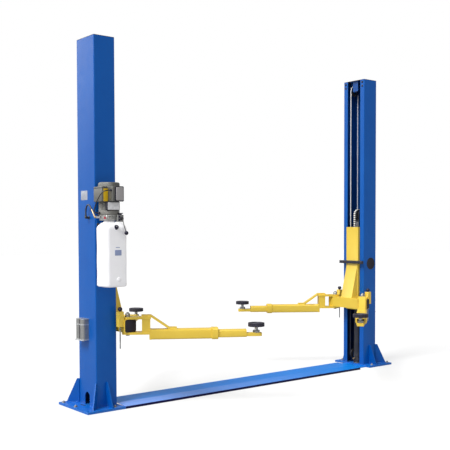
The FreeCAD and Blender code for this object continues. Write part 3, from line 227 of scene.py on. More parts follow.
# kind, two tones, gloss, metallic, coat, specular level, bump distance, and where there is dust its amount and reach
finishes = {
    "postEnamel": ("paint", (0.0, 0.085, 0.375), (0.001, 0.097, 0.408), 0.36, 0.0, 0.04, 0.21, 0.0001, 0.16, 0.05),
    "baseEnamel": ("paint", (0.0, 0.118, 0.49), (0.001, 0.132, 0.53), 0.38, 0.0, 0.05, 0.22, 0.00012, 0.16, 0.03),
    "coverEnamel": ("paint", (0.0, 0.183, 0.658), (0.002, 0.204, 0.708), 0.4, 0.0, 0.05, 0.2, 0.00012),
    # painted shade: near black navy for the strip over the floor cover's shaded front edge
    "skirtNavy": ("paint", (0.003, 0.001, 0.04), (0.006, 0.003, 0.06), 0.5, 0.0, 0.0, 0.15, 0.0001),
    "armEnamel": ("paint", (0.708, 0.487, 0.043), (0.754, 0.538, 0.058), 0.4, 0.0, 0.16, 0.46, 0.00008),
    "channelBlack": ("paint", (0.008, 0.009, 0.014), (0.014, 0.015, 0.022), 0.45, 0.0, 0.0, 0.35, 0.00015, 0.2, 0.3),
    "capPlastic": ("grain", (0.01, 0.009, 0.016), (0.019, 0.017, 0.027), 0.5, 0.0, 0.0, 0.3, 0.0001),
    "padRubber": ("grain", (0.009, 0.008, 0.016), (0.022, 0.02, 0.033), 0.52, 0.0, 0.0, 0.35, 0.0002),
    "hoseRubber": ("grain", (0.01, 0.009, 0.009), (0.02, 0.018, 0.017), 0.42, 0.0, 0.0, 0.4, 0.00008),
    "motorCast": ("grain", (0.196, 0.192, 0.175), (0.138, 0.135, 0.125), 0.45, 0.4, 0.0, 0.45, 0.00018),
    "boxEnamel": ("paint", (0.125, 0.125, 0.113), (0.1, 0.1, 0.092), 0.42, 0.15, 0.0, 0.45, 0.00012),
    "lidEnamel": ("paint", (0.358, 0.343, 0.346), (0.317, 0.307, 0.307), 0.4, 0.15, 0.0, 0.45, 0.00012),
    "blockAlloy": ("plate", (0.48, 0.48, 0.46), (0.36, 0.36, 0.345), 0.34, 0.8, 0.0, 0.5, 0.00008),
    "tankPlastic": ("grain", (0.965, 0.962, 0.98), (0.925, 0.923, 0.945), 0.36, 0.0, 0.1, 0.4, 0.0001),
    "zincPlate": ("plate", (0.64, 0.625, 0.57), (0.54, 0.545, 0.57), 0.3, 0.85, 0.0, 0.5, 0.00005),
    "coverZinc": ("plate", (0.283, 0.285, 0.275), (0.25, 0.253, 0.248), 0.34, 0.6, 0.0, 0.5, 0.00008),
    "brightZinc": ("plate", (0.68, 0.69, 0.7), (0.6, 0.61, 0.64), 0.3, 0.6, 0.0, 0.5, 0.00005),
    "rimZinc": ("grain", (0.5, 0.51, 0.52), (0.4, 0.41, 0.425), 0.34, 0.5, 0.0, 0.5, 0.00003),
    "chromeRod": ("plate", (0.42, 0.42, 0.43), (0.36, 0.365, 0.38), 0.16, 1.0, 0.0, 0.5, 0.00002),
    "cableWire": ("plate", (0.76, 0.765, 0.78), (0.64, 0.65, 0.67), 0.45, 0.15, 0.0, 0.5, 0.00008),
    "chainSteel": ("grain", (0.085, 0.082, 0.078), (0.05, 0.048, 0.046), 0.4, 0.5, 0.0, 0.5, 0.00015),
    "linkEdge": ("grain", (0.82, 0.81, 0.78), (0.64, 0.63, 0.6), 0.36, 0.4, 0.0, 0.5, 0.0001),
    "pulleyIron": ("grain", (0.06, 0.06, 0.066), (0.036, 0.036, 0.042), 0.45, 0.6, 0.0, 0.5, 0.00015),
    "sliderNylon": ("grain", (0.6, 0.583, 0.517), (0.533, 0.517, 0.454), 0.48, 0.0, 0.0, 0.4, 0.0001),
    "brassEnd": ("plate", (0.33, 0.245, 0.14), (0.27, 0.21, 0.135), 0.34, 0.75, 0.0, 0.5, 0.00004),
    "plateBlank": ("plate", (0.392, 0.417, 0.467), (0.308, 0.333, 0.4), 0.42, 0.25, 0.0, 0.5, 0.00003),
    "nameBlank": ("plate", (0.76, 0.76, 0.77), (0.66, 0.66, 0.68), 0.4, 0.15, 0.0, 0.45, 0.00003),
    "stickerYellow": ("paint", (0.717, 0.467, 0.007), (0.667, 0.417, 0.007), 0.42, 0.0, 0.0, 0.35, 0.00003),
    "capRed": ("grain", (0.517, 0.007, 0.042), (0.433, 0.005, 0.033), 0.4, 0.0, 0.0, 0.4, 0.00006),
    "knobBakelite": ("grain", (0.008, 0.007, 0.02), (0.013, 0.011, 0.03), 0.42, 0.0, 0.0, 0.25, 0.00003),
    "labelPale": ("paint", (0.208, 0.267, 0.467), (0.267, 0.325, 0.508), 0.45, 0.0, 0.0, 0.4, 0.00002),
}


def makeFinish(name, kind, tone, shade, gloss, metallic, coat, specular, bump, dust=0.0, reach=0.0):
    material = bpy.data.materials.new(name)
    material.use_nodes = True
    tree = material.node_tree
    shader = tree.nodes["Principled BSDF"]
    film = addNode(tree, "ShaderNodeGroup", {"node_tree": filmFor[kind]}, Tone=(*tone, 1), Shade=(*shade, 1),
                   Gloss=gloss)
    soils = [(dustGroup, {"Amount": dust, "Reach": reach})] if dust else []
    colour = film.outputs["Colour"]
    for group, amounts in soils + ([soilAndLightOn[name]] if name in soilAndLightOn else []):
        colour = addNode(tree, "ShaderNodeGroup", {"node_tree": group}, Colour=colour, **amounts).outputs["Colour"]
    relief = addNode(tree, "ShaderNodeBump", None, Height=film.outputs["Height"], Distance=bump)
    tree.links.new(colour, shader.inputs["Base Color"])
    tree.links.new(film.outputs["Roughness"], shader.inputs["Roughness"])
    tree.links.new(relief.outputs["Normal"], shader.inputs["Normal"])
    for socket, value in (("Metallic", metallic), ("Coat Weight", coat), ("Coat Roughness", 0.12),
                          ("Specular IOR Level", specular)):
        shader.inputs[socket].default_value = value
    material.diffuse_color = (*tone, 1)
    return material


finish = {name: makeFinish(name, *values) for name, values in finishes.items()}
print("finishes made:", len(finish))

# ---- surfaces: every shape is a grid of points worked out as one array


def shell(points, wrapRows=False):
    # rings of points, row after row, closed along each ring and, unless the rows wrap, over both ends
    rows, cols = points.shape[:2]
    i, j = np.meshgrid(np.arange(rows if wrapRows else rows - 1), np.arange(cols), indexing="ij")
    below, beside = (i + 1) % rows, (j + 1) % cols
    faces = np.stack([i * cols + j, i * cols + beside, below * cols + beside, below * cols + j], -1)
    faces = faces.reshape(-1, 4).tolist()
    if not wrapRows:
        for row, step in ((0, -1), (rows - 1, 1)):
            if np.ptp(points[row], axis=0).max() > 1e-6:
                faces.append(list(range(row * cols, (row + 1) * cols))[::step])
    return points.reshape(-1, 3), faces


def angles(sides):
    return np.arange(sides) * 2 * np.pi / sides


def wound(radius, height, wrapRows=False, phase=0.0):
    # a table of radii r by row and angle, at the rows' heights: x = r cos a, y = r sin a
    angle = phase + angles(radius.shape[1])
    return shell(np.stack([radius * np.cos(angle), radius * np.sin(angle),
                           np.broadcast_to(height[:, None], radius.shape)], -1), wrapRows)


def turned(profile, sides=48, phase=0.0):
    # profile of (radius r, height z) turned round Z
    radius, height = np.array(profile, float).T
    return wound(np.outer(radius, np.ones(sides)), height, phase=phase)


def solid(profile, sides=24):
    # the same, closed to the axis at both ends
    return turned([(0, profile[0][1]), *profile, (0, profile[-1][1])], sides)


def roundedOutline(halfX, halfY, radius, steps=6):
    # four quarter arcs, each about its corner's centre
    quarter = np.arange(4)[:, None] * np.pi / 2 + np.linspace(0, np.pi / 2, steps + 1)
    centreX = np.array([1, -1, -1, 1])[:, None] * (halfX - radius)
    centreY = np.array([1, 1, -1, -1])[:, None] * (halfY - radius)
    return np.stack([centreX + radius * np.cos(quarter), centreY + radius * np.sin(quarter)], -1).reshape(-1, 2)


def stacked(levels, steps=6):
    # rounded outlines of (half x, half y, corner radius, height) stacked up Z
    rings = []
    for halfX, halfY, radius, height in levels:
        outline = roundedOutline(halfX, halfY, max(radius, 1e-4), steps)
        rings.append(np.column_stack([outline, np.full(len(outline), height)]))
    return shell(np.array(rings))


def easedEnds(low, high, edge):
    # how far both ends draw in, at which heights, along a quarter arc of the edge's radius
    turn = np.linspace(0, np.pi / 2, 4)
    inset, rise = edge * (1 - np.sin(turn)), edge * (1 - np.cos(turn))
    return np.concatenate([inset, inset[::-1]]), np.concatenate([low + rise, high - rise[::-1]])


def softBlock(halfX, halfY, low, high, corner, edge, steps=6):
    # a rounded outline carried up Z
    return stacked([(halfX - d, halfY - d, corner - d, z) for d, z in zip(*easedEnds(low, high, edge))], steps)


def softDisc(radius, low, high, edge, sides=48):
    inset, height = easedEnds(low, high, edge)
    return solid(list(zip(radius - inset, height)), sides)


def along(part, axis):
    # a shape drawn up Z laid along X or Y, without mirroring it
    points, faces = part
    order = {"X": (2, 0, 1), "Y": (1, 2, 0), "Z": (0, 1, 2)}[axis]
    return points[:, order], faces


def shift(part, x=0.0, y=0.0, z=0.0):
    return part[0] + np.array([x, y, z]), part[1]


def turnBy(part, degrees, axis="Z"):
    matrix = np.array(Matrix.Rotation(math.radians(degrees), 3, axis))
    return part[0] @ matrix.T, part[1]


def flip(part, x=1, y=1, z=1):
    return part[0] * np.array([x, y, z]), part[1]


def halfTurn(part):
    return flip(part, -1, -1)


def sided(parts, way):
    # drawn on the right post (way 1), half turned for the left one
    return [part if way > 0 else halfTurn(part) for part in parts]


def tubeAlong(path, radius, sides=12, reference=(0, 0, 1), wrap=False):
    # a circle carried along a path: p + r (n cos a + b sin a), with n square to the path and the reference
    path = np.asarray(path, float)
    if wrap:
        tangent = np.roll(path, -1, 0) - np.roll(path, 1, 0)
    else:
        tangent = np.gradient(path, axis=0)
    tangent /= np.linalg.norm(tangent, axis=1, keepdims=True)
    normal = np.cross(tangent, reference)
    normal /= np.linalg.norm(normal, axis=1, keepdims=True)
    binormal = np.cross(tangent, normal)
    angle = angles(sides)
    reach = np.broadcast_to(np.asarray(radius, float), (sides, len(path))).T if np.ndim(radius) < 2 else radius
    points = (path[:, None] + normal[:, None] * (reach * np.cos(angle))[..., None]
              + binormal[:, None] * (reach * np.sin(angle))[..., None])
    return shell(points, wrap)


def hexHead(flats, low, high, chamfer=0.12):
    # six sided outline carried up Z, drawn in at its top edge
    corner, rise = flats / math.sqrt(3), high - low
    return turned([(corner, low), (corner, high - chamfer * rise), (corner * 0.9, high)], 6)


def boltSet(places, flats, height, axis="Z", direction=1):
    # washer, hexagon head and stud end, the same at every place
    parts = []
    for index, place in enumerate(places):
        for piece in (softDisc(flats * 0.86, 0, height * 0.22, height * 0.06, 24),
                      turnBy(hexHead(flats, height * 0.2, height), 17 * index),
                      softDisc(flats * 0.26, height * 0.9, height * 1.25, height * 0.1, 16)):
            parts.append(shift(flip(along(piece, axis), **{axis.lower(): direction}), *place))
    return parts


def weldLine(start, end, radius=0.004, pitch=0.0055, reference=(0, 0, 1)):
    # a bead with ripples: its radius rises and falls along the line
    start, end = np.array(start, float), np.array(end, float)
    length = np.linalg.norm(end - start)
    steps = max(int(length / (pitch / 4)), 4)
    t = np.linspace(0, 1, steps)
    wave = 1 + 0.13 * np.abs(np.sin(np.pi * t * length / pitch)) + 0.05 * np.sin(2 * np.pi * t * length / 0.047)
    ends = np.minimum(1, 3 * np.minimum(t, 1 - t) * length / radius * 0.5 + 0.35)
    return tubeAlong(start + (end - start) * t[:, None], radius * wave * ends, 8, reference)


def beadsAlong(lines, radius, pitch):
    return [weldLine(start, end, radius, pitch, (1, 0.3, 0) if abs(start[2] - end[2]) > 0.01 else (0, 0, 1))
            for start, end in lines]


def camel(name):
    first, *others = name.split("_")
    return first + "".join(word.capitalize() for word in others)


def makePiece(name, parts, finishName, body="root", replaced=(), smoothTo=35):
    # joins the parts to one mesh, closes its seams, turns its faces outward and rides it on its body
    points, faces, count = [], [], 0
    for partPoints, partFaces in parts:
        points.append(partPoints)
        faces += [[index + count for index in face] for face in partFaces]
        count += len(partPoints)
    mesh = bpy.data.meshes.new(name)
    mesh.from_pydata(np.concatenate(points).tolist(), [], faces)
    form = bmesh.new()
    form.from_mesh(mesh)
    bmesh.ops.remove_doubles(form, verts=form.verts, dist=2e-6)
    bmesh.ops.dissolve_degenerate(form, edges=form.edges, dist=1e-6)
    bmesh.ops.recalc_face_normals(form, faces=form.faces)
    form.to_mesh(mesh)
    form.free()
    mesh.shade_smooth()
    mesh.set_sharp_from_angle(angle=math.radians(smoothTo))
    mesh.materials.append(finish[finishName])
    piece = bpy.data.objects.new(name, mesh)
    bpy.context.scene.collection.objects.link(piece)
    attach(piece, body)
    if replaced:
        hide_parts(*replaced)


def roundTube(form, shortest, radius):
    # the outer corners along a tube: long convex edges between two broad faces
    corners = [edge for edge in form.edges
               if len(edge.link_faces) == 2 and edge.is_convex and edge.calc_face_angle() > 1.2
               and edge.calc_length() > shortest
               and all(face.calc_area() / edge.calc_length() > 0.05 for face in edge.link_faces)]
    bmesh.ops.bevel(form, geom=corners, offset=radius, segments=4, profile=0.5, affect="EDGES", clamp_overlap=True)


def dropTube(form, arm):
    # takes the sharp outer tube and collar off a fork arm past its fork plates; rounded ones are drawn apart
    pin = Vector(jointNamed[f"{arm}_swing"]["pos_m"])
    ahead = Vector(jointNamed[f"{arm}_extend"]["axis"]).normalized()
    start, belowStrap = tubeSettings["start"], 0.607
    bmesh.ops.bisect_plane(form, geom=form.verts[:] + form.edges[:] + form.faces[:], plane_co=pin + ahead * start,
                           plane_no=ahead)
    inTube = [face for face in form.faces
              if all((place - pin).dot(ahead) > start - 0.0001 and place.z < belowStrap
                     for place in (corner.co for corner in face.verts))]
    bmesh.ops.delete(form, geom=inTube, context="FACES")


def easeEdges(node, finishName, width, rounding=None, opened=None):
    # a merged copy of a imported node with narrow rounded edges, which stands for it
    title = camel(node) + "Eased"
    mesh = nodes[node].data.copy()
    mesh.name = title
    form = bmesh.new()
    form.from_mesh(mesh)
    bmesh.ops.remove_doubles(form, verts=form.verts, dist=2e-5)
    bmesh.ops.dissolve_limit(form, angle_limit=math.radians(0.8), verts=form.verts, edges=form.edges)
    if rounding:
        roundTube(form, *rounding)
    if opened:
        dropTube(form, opened)
    form.to_mesh(mesh)
    form.free()
    mesh.shade_smooth()
    mesh.set_sharp_from_angle(angle=math.radians(35))
    mesh.materials.clear()
    mesh.materials.append(finish[finishName])
    piece = bpy.data.objects.new(title, mesh)
    bpy.context.scene.collection.objects.link(piece)
    bevel = piece.modifiers.new("edge", "BEVEL")
    bevel.width, bevel.segments, bevel.limit_method = width, 2, "ANGLE"
    bevel.angle_limit = math.radians(40)
    bevel.harden_normals = True
    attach(piece, bodyOf[node])
    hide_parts(node)


def dress(finishName, *names):
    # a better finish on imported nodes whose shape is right
    for node in names:
        for slot in nodes[node].material_slots:
            slot.material = finish[finishName]


sides = (("left", -1), ("right", 1))

# ---- cords: the hydraulic hose and the motor's cable
hoseSettings = {"radius": 0.0055, "points": [(-1.6135, -0.13514, 1.51636), (-1.6135, -0.10496, 1.55108),
                                             (-1.6135, -0.07448, 1.55554), (-1.6135, -0.044, 1.53),
                                             (-1.6135, -0.044, 1.478)], "length": 0.158}
wireSettings = {"radius": 0.004, "points": [(-1.5745, -0.335, 1.655), (-1.6065, -0.335, 1.655),
                                            (-1.6353, -0.322, 1.636), (-1.6497, -0.292, 1.592),
                                            (-1.6526, -0.2627, 1.5494), (-1.651, -0.239, 1.5148),
                                            (-1.6395, -0.222, 1.49), (-1.6075, -0.222, 1.49)], "length": 0.262}


def makeCord(name, node, settings):
    curve = bpy.data.curves.new(name, "CURVE")
    curve.dimensions, curve.resolution_u, curve.bevel_resolution = "3D", 16, 6
    curve.bevel_depth, curve.use_fill_caps = settings["radius"], True
    spline = curve.splines.new("NURBS")
    spline.points.add(len(settings["points"]) - 1)
    for point, place in zip(spline.points, settings["points"]):
        point.co = (*place, 1)
    spline.order_u, spline.use_endpoint_u = 3, True
    curve.materials.append(finish["hoseRubber"])
    cord = bpy.data.objects.new(name, curve)
    bpy.context.scene.collection.objects.link(cord)
    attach(cord, "root")
    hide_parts(node)


makeCord("hydraulicHose", "hydraulic_hose", hoseSettings)
makeCord("motorCable", "motor_cable", wireSettings)

# ---- painted steel with narrow rounded edges
for side, _ in sides:
    easeEdges(f"{side}_column", "postEnamel", 0.0012)
    easeEdges(f"{side}_base_plate", "baseEnamel", 0.0015)
    easeEdges(f"{side}_carriage", "armEnamel", 0.0015)
easeEdges("gussets", "postEnamel", 0.0025)
easeEdges("floor_cover", "coverEnamel", 0.0006)
# painted shade: a near black navy strip over the floor cover's front edge, where shade falls
shadeStrip = softBlock(1.319, 0.0008, 0.0006, 0.0186, 0.0006, 0.0004)
makePiece("coverSkirt", [shift(shadeStrip, -0.07, -0.2353)], "skirtNavy")
easeEdges("motor_bracket", "postEnamel", 0.0012)
easeEdges("pulley_brackets", "postEnamel", 0.001)
easeEdges("column_caps", "capPlastic", 0.0008)
print("posts and carriages eased")

# ---- arms, drawn along +X from the pivot and then swung to each arm's heading
arms = {}
for arm in ("left_front", "left_back", "right_front", "right_back"):
    heading = Vector(jointNamed[f"{arm}_extend"]["axis"])
    low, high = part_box(f"{arm}_lifting_pad")
    pin = Vector(jointNamed[f"{arm}_swing"]["pos_m"])
    arms[arm] = {"heading": math.degrees(math.atan2(heading.y, heading.x)), "pin": pin,
                 "reach": math.hypot((low.x + high.x) / 2 - pin.x, (low.y + high.y) / 2 - pin.y),
                 "title": camel(arm)}


def toArm(parts, arm):
    pin = arms[arm]["pin"]
    return [shift(turnBy(part, arms[arm]["heading"]), pin.x, pin.y) for part in parts]


padSettings = {"radius": 0.065, "low": 0.606, "high": 0.6362, "ribs": 24, "ribDepth": 0.003,
               "screwRadius": 0.014, "screwLow": 0.5316, "threadPitch": 0.004, "threadDepth": 0.0011}


def liftingPad(reach):
    # rubber disc: the rim's radius swells in ribs, r = R - d cos(n a), round a dished, ringed top
    s = padSettings
    rim, low, high = s["radius"], s["low"], s["high"]
    profile = [(0.0, low), (0.03, low), (0.034, low + 0.002), (rim - 0.003, low + 0.001), (rim - 0.0006, low + 0.0018),
               (rim, low + 0.003), (rim, low + 0.008), (rim, high - 0.008), (rim, high - 0.002),
               (rim - 0.0006, high - 0.0006), (rim - 0.002, high), (rim - 0.009, high), (rim - 0.011, high - 0.004)]
    profile += [(radius, high - 0.004 + (0.0022 if index % 4 in (1, 2) else 0.0))
                for index, radius in enumerate(np.linspace(rim - 0.013, 0.008, 28))]
    profile = np.array(profile + [(0.0, high - 0.004)])
    onRim = ((profile[:, 0] > rim - 0.0001) & (profile[:, 1] < high - 0.004)).astype(float)
    radius = profile[:, :1] - s["ribDepth"] * onRim[:, None] * (0.5 - 0.5 * np.cos(s["ribs"] * angles(240)))
    return shift(wound(radius, profile[:, 1]), reach)


def padScrew(reach):
    # thread: the radius falls and rises with the height less the turn, r = R - d tri(z / p - a / 2 pi)
    s = padSettings
    height = np.arange(s["screwLow"], s["low"] + 0.002, s["threadPitch"] / 6)
    cycle = (height[:, None] / s["threadPitch"] - angles(28) / (2 * np.pi)) % 1.0
    return shift(wound(s["screwRadius"] - s["threadDepth"] * np.abs(2 * cycle - 1), height), reach)


tubeSettings = {"start": 0.1785, "end": 0.695, "halfY": 0.045, "halfZ": 0.039, "middle": 0.561, "corner": 0.012,
                "collar": 0.048, "collarThick": 0.006, "wall": 0.006}


def outerTube():
    # rounded outlines of (growth, corner radius, distance from the pin) along the tube, its collar and back in its bore
    s = tubeSettings
    start, end, corner, thick, wall = s["start"], s["end"], s["corner"], s["collarThick"], s["wall"]
    collarStart = end - s["collar"]
    rows = [(0.0, 0.001, start), (0.0, corner, start + 0.006), (0.0, corner, collarStart),
            (thick - 0.0015, corner + 0.0045, collarStart), (thick, corner + 0.006, collarStart + 0.0015),
            (thick, corner + 0.006, end - 0.002), (thick - 0.002, corner + 0.004, end),
            (-wall, 0.004, end), (-wall, 0.004, start)]
    rings = []
    for growth, radius, ahead in rows:
        outline = roundedOutline(s["halfZ"] + growth, s["halfY"] + growth, radius, 5)
        rings.append(np.column_stack([np.full(len(outline), ahead), outline[:, 1], s["middle"] - outline[:, 0]]))
    return shell(np.array(rings), True)


def padNut(reach):
    # zinc plated hexagon over the pad bar, open for the screw
    radius = np.array([0.015, 0.0277, 0.0277, 0.0256, 0.015])
    height = np.array([0.5597, 0.5597, 0.577, 0.5791, 0.5791])
    return shift(wound(np.outer(radius, np.ones(6)), height, True), reach)


for arm, facts in arms.items():
    title, reach = facts["title"], facts["reach"]
    easeEdges(f"{arm}_arm", "armEnamel", 0.002, opened=arm)
    makePiece(f"{title}OuterTube", toArm([outerTube()], arm), "armEnamel", f"{arm}_arm")
    makePiece(f"{title}PadNut", toArm([padNut(reach)], arm), "coverZinc", f"{arm}_pad_bar")
    easeEdges(f"{arm}_inner_tube", "armEnamel", 0.0015, rounding=(0.3, 0.01))
    easeEdges(f"{arm}_pad_bar", "armEnamel", 0.002)
    makePiece(f"{title}Pad", toArm([liftingPad(reach)], arm), "padRubber", f"{arm}_lifting_pad",
              (f"{arm}_lifting_pad",))
    makePiece(f"{title}PadScrew", toArm([padScrew(reach)], arm), "zincPlate", f"{arm}_lifting_pad")
print("arms and pads made")

# ---- power unit on the side of the left post
unit = {"x": -1.5155, "y": -0.222, "blockLow": 1.434, "blockTop": 1.476, "blockHalf": 0.054}
motorSettings = {"radius": 0.078, "fins": 40, "finDepth": 0.0065, "bottom": 1.476, "top": 1.658, "bell": 0.03,
                 "fanRadius": 0.08, "fanTop": 1.718, "screwCircle": 0.07}


def motorFrame():
    # r = R - d (0.5 - 0.5 tanh(4 cos(n a))) between the end bells: square shouldered fins all round
    s = motorSettings
    low, bell, top = s["bottom"], s["bottom"] + s["bell"], s["top"]
    height = np.array([low, low + 0.003, bell, bell + 0.004, top - 0.016, top - 0.012, top - 0.001, top + 0.003])
    base = s["radius"] - np.array([0.004, 0.0, 0.0, 0.0015, 0.0015, 0.0, 0.0, 0.0])
    finned = np.array([0, 0, 0, 1, 1, 0, 0, 0])[:, None]
    radius = base[:, None] - s["finDepth"] * finned * (0.5 - 0.5 * np.tanh(4 * np.cos(s["fins"] * angles(480))))
    return shift(wound(radius, height), unit["x"], unit["y"])


def fanCover():
    s = motorSettings
    rim, low, top = s["fanRadius"], s["top"], s["fanTop"]
    profile = [(0.0, low), (rim - 0.002, low), (rim, low + 0.002), (rim, top - 0.012), (rim - 0.0035, top - 0.0035),
               (rim - 0.012, top)]
    for ring in np.arange(0.058, 0.014, -0.011):
        profile += [(ring + 0.0035, top), (ring + 0.003, top - 0.004), (ring - 0.002, top - 0.004),
                    (ring - 0.0025, top)]
    screw = softDisc(0.0035, 0, 0.002, 0.0008, 12)
    screws = [shift(screw, s["screwCircle"] * math.cos(a), s["screwCircle"] * math.sin(a), top - 0.002)
              for a in np.radians([45, 135, 225, 315])]
    return [shift(part, unit["x"], unit["y"]) for part in [turned(profile + [(0.0, top)], 96), *screws]]


makePiece("motorFrame", [motorFrame()], "motorCast", replaced=("motor",))
makePiece("motorCore", [shift(softDisc(0.0716, 1.5, 1.65, 0.001, 96), unit["x"], unit["y"])], "pulleyIron")
makePiece("fanCover", fanCover(), "boxEnamel")

terminalSettings = {"halfX": 0.045, "lidX": -1.505, "lidHalf": 0.035, "back": -0.29, "front": -0.364, "low": 1.574,
                    "high": 1.684}


def terminalBox():
    # the tub behind, a black gasket that stands proud of it, and the lid in front
    s = terminalSettings
    middle, half = (s["low"] + s["high"]) / 2, (s["high"] - s["low"]) / 2
    lid, front = s["lidHalf"], -s["front"]
    parts = ((softBlock(half - 0.001, s["halfX"] - 0.0005, -s["back"] - 0.028, front - 0.014, 0.006, 0.002), unit["x"]),
             (softBlock(half + 0.0012, lid + 0.0018, front - 0.015, front - 0.006, 0.008, 0.002), s["lidX"]),
             (softBlock(half - 0.006, lid - 0.0055, front - 0.008, front, 0.007, 0.003), s["lidX"]))
    return [shift(flip(along(part, "Y"), 1, -1), x, 0, middle) for part, x in parts]


tub, gasket, lid = terminalBox()
makePiece("terminalTub", [tub], "boxEnamel", replaced=("terminal_box",))
makePiece("terminalGasket", [gasket], "capPlastic")
makePiece("terminalLid", [lid], "lidEnamel")

capacitorSettings = {"left": -1.6155, "right": -1.5615, "front": -0.289, "back": -0.165, "low": 1.574, "high": 1.684}


def capacitorBox():
    s = capacitorSettings
    centreX, centreY = (s["left"] + s["right"]) / 2, (s["front"] + s["back"]) / 2
    halfX, halfY = (s["right"] - s["left"]) / 2, (s["back"] - s["front"]) / 2
    low, high = s["low"], s["high"]
    body = softBlock(halfX, halfY, low, high - 0.012, 0.008, 0.003)
    lid = softBlock(halfX, halfY, high - 0.011, high, 0.008, 0.003)
    seam = softBlock(halfX + 0.0004, halfY + 0.0004, high - 0.0135, high - 0.0095, 0.008, 0.001)
    return [shift(part, centreX, centreY) for part in (body, lid)], [shift(seam, centreX, centreY)]


boxParts, seamParts = capacitorBox()
makePiece("capacitorSeam", seamParts, "capPlastic")
makePiece("capacitorBox", boxParts, "boxEnamel", replaced=("capacitor_box",))

blockSettings = {"valveX": -1.4655, "valveHalf": 0.026, "valveFront": -0.306, "valveLow": 1.424}


def pumpBlock():
    u, s = unit, blockSettings
    body = shift(softBlock(u["blockHalf"], u["blockHalf"], u["blockLow"], u["blockTop"], 0.006, 0.002), u["x"], u["y"])
    flange = shift(softDisc(0.07, u["blockTop"] - 0.008, u["blockTop"] - 0.0005, 0.002), u["x"], u["y"])
    valve = shift(softBlock(s["valveHalf"], 0.018, s["valveLow"], u["blockTop"], 0.004, 0.0015), s["valveX"],
                  s["valveFront"] + 0.018)
    parts = [body, flange]
    front = u["y"] - u["blockHalf"]
    for x, z in ((-0.036, 1.446), (-0.036, 1.464), (0.004, 1.446), (0.004, 1.464)):
        parts.append(shift(along(softDisc(0.0052, 0, 0.006, 0.001, 20), "Y"), u["x"] + x, front - 0.005, z))
    parts.append(shift(turnBy(along(hexHead(0.016, 0, 0.012), "Y"), 180), u["x"] - 0.016, front, 1.455))
    return parts, [valve]


block, valve = pumpBlock()
makePiece("pumpBlock", block, "blockAlloy", replaced=("pump_block",))
makePiece("valveBody", valve, "coverZinc")

tankSettings = {"x": -1.5205, "y": -0.264, "halfX": 0.088, "halfY": 0.086, "low": 0.942, "straight": 1.382,
                "top": 1.42, "inset": 0.03, "corner": 0.026, "neck": 0.042, "foot": 0.014}


def oilTank():
    # blow moulded tank: rounded outlines up Z, drawn in over the shoulder along a soft S
    s = tankSettings
    low, straight, top, foot = s["low"], s["straight"], s["top"], s["foot"]
    levels = [(foot * (1 - math.sin(t)), low + foot * (1 - math.cos(t))) for t in np.linspace(0, np.pi / 2, 6)]
    levels += [(0.0012 * math.sin((height - low) * 16) ** 2, height)
               for height in np.linspace(low + 0.05, straight - 0.02, 12)]
    levels += [(s["inset"] * (t * t * (3 - 2 * t)) ** 0.9, straight - 0.006 + (top - straight + 0.006)
                * math.sin(t * np.pi / 2)) for t in np.linspace(0, 1, 9)]
    body = stacked([(s["halfX"] - d, s["halfY"] - d, s["corner"] + 0.25 * d, z) for d, z in levels], 9)
    neck = softDisc(s["neck"], top - 0.01, unit["blockLow"] - 0.001, 0.003)
    boss = turned([(0, -0.004), (0.0185, -0.004), (0.0165, 0.0015), (0.012, 0.0034), (0.01, 0.003),
                   (0.008, 0.0042), (0, 0.0046)], 32)
    boss = shift(flip(along(boss, "Y"), 1, -1), -1.5082, s["y"] - s["halfY"] + 0.0005, 0.999)
    return [shift(body, s["x"], s["y"]), shift(neck, unit["x"], unit["y"]), boss]


makePiece("oilTank", oilTank(), "tankPlastic", smoothTo=50, replaced=("oil_tank",))
print("power unit made")

# ---- details of the arms: weld beads at the web, strap and collar
armWelds = [((0.168, -0.0445, 0.601), (0.168, 0.0445, 0.601)), ((0.1695, -0.04, 0.604), (0.1695, -0.04, 0.676)),
            ((0.1695, 0.04, 0.604), (0.1695, 0.04, 0.676)), ((0.321, -0.0335, 0.6015), (0.376, -0.0335, 0.6015)),
            ((0.321, 0.0335, 0.6015), (0.376, 0.0335, 0.6015)), ((0.377, -0.031, 0.6015), (0.377, 0.031, 0.6015)),
            ((0.106, -0.0335, 0.699), (0.176, -0.0335, 0.699)), ((0.106, 0.0335, 0.699), (0.176, 0.0335, 0.699)),
            ((0.6455, -0.0445, 0.6015), (0.6455, 0.0445, 0.6015)), ((0.6455, -0.0465, 0.523), (0.6455, -0.0465, 0.6)),
            ((0.6455, 0.0465, 0.523), (0.6455, 0.0465, 0.6))]
for arm, facts in arms.items():
    beads = [weldLine(start, end, 0.003, 0.005, (1, 0, 0) if abs(start[0] - end[0]) < 1e-6 else (0, 0, 1))
             for start, end in armWelds]
    makePiece(f"{facts['title']}Welds", toArm(beads, arm), "armEnamel", f"{arm}_arm")


# ---- carriages: end plugs, guard bars, lock knobs and rods, pivot bolts and weld beads
carriageSettings = {"tubeX": 1.3355, "tubeZ": 0.6295, "plugA": 0.0445, "plugB": 0.044, "plugEnd": 0.2235,
                    "lockX": 1.407, "lockY": 0.189, "pinX": 1.3355, "pinY": 0.183}


def tubePlugs():
    s = carriageSettings
    parts = []
    for sign in (1, -1):
        body = along(softBlock(s["plugB"], s["plugA"], s["plugEnd"] - 0.016, s["plugEnd"], 0.015, 0.003), "Y")
        ridge = along(softBlock(s["plugB"] - 0.008, s["plugA"] - 0.008, s["plugEnd"] + 0.001, s["plugEnd"] + 0.0038,
                                0.012, 0.0008), "Y")
        flange = along(softBlock(0.049, 0.0494, s["plugEnd"] + 0.0002, s["plugEnd"] + 0.003, 0.018, 0.0018), "Y")
        for part in (body, flange, ridge):
            parts.append(shift(flip(part, 1, sign), s["tubeX"], 0, s["tubeZ"]))
    return parts


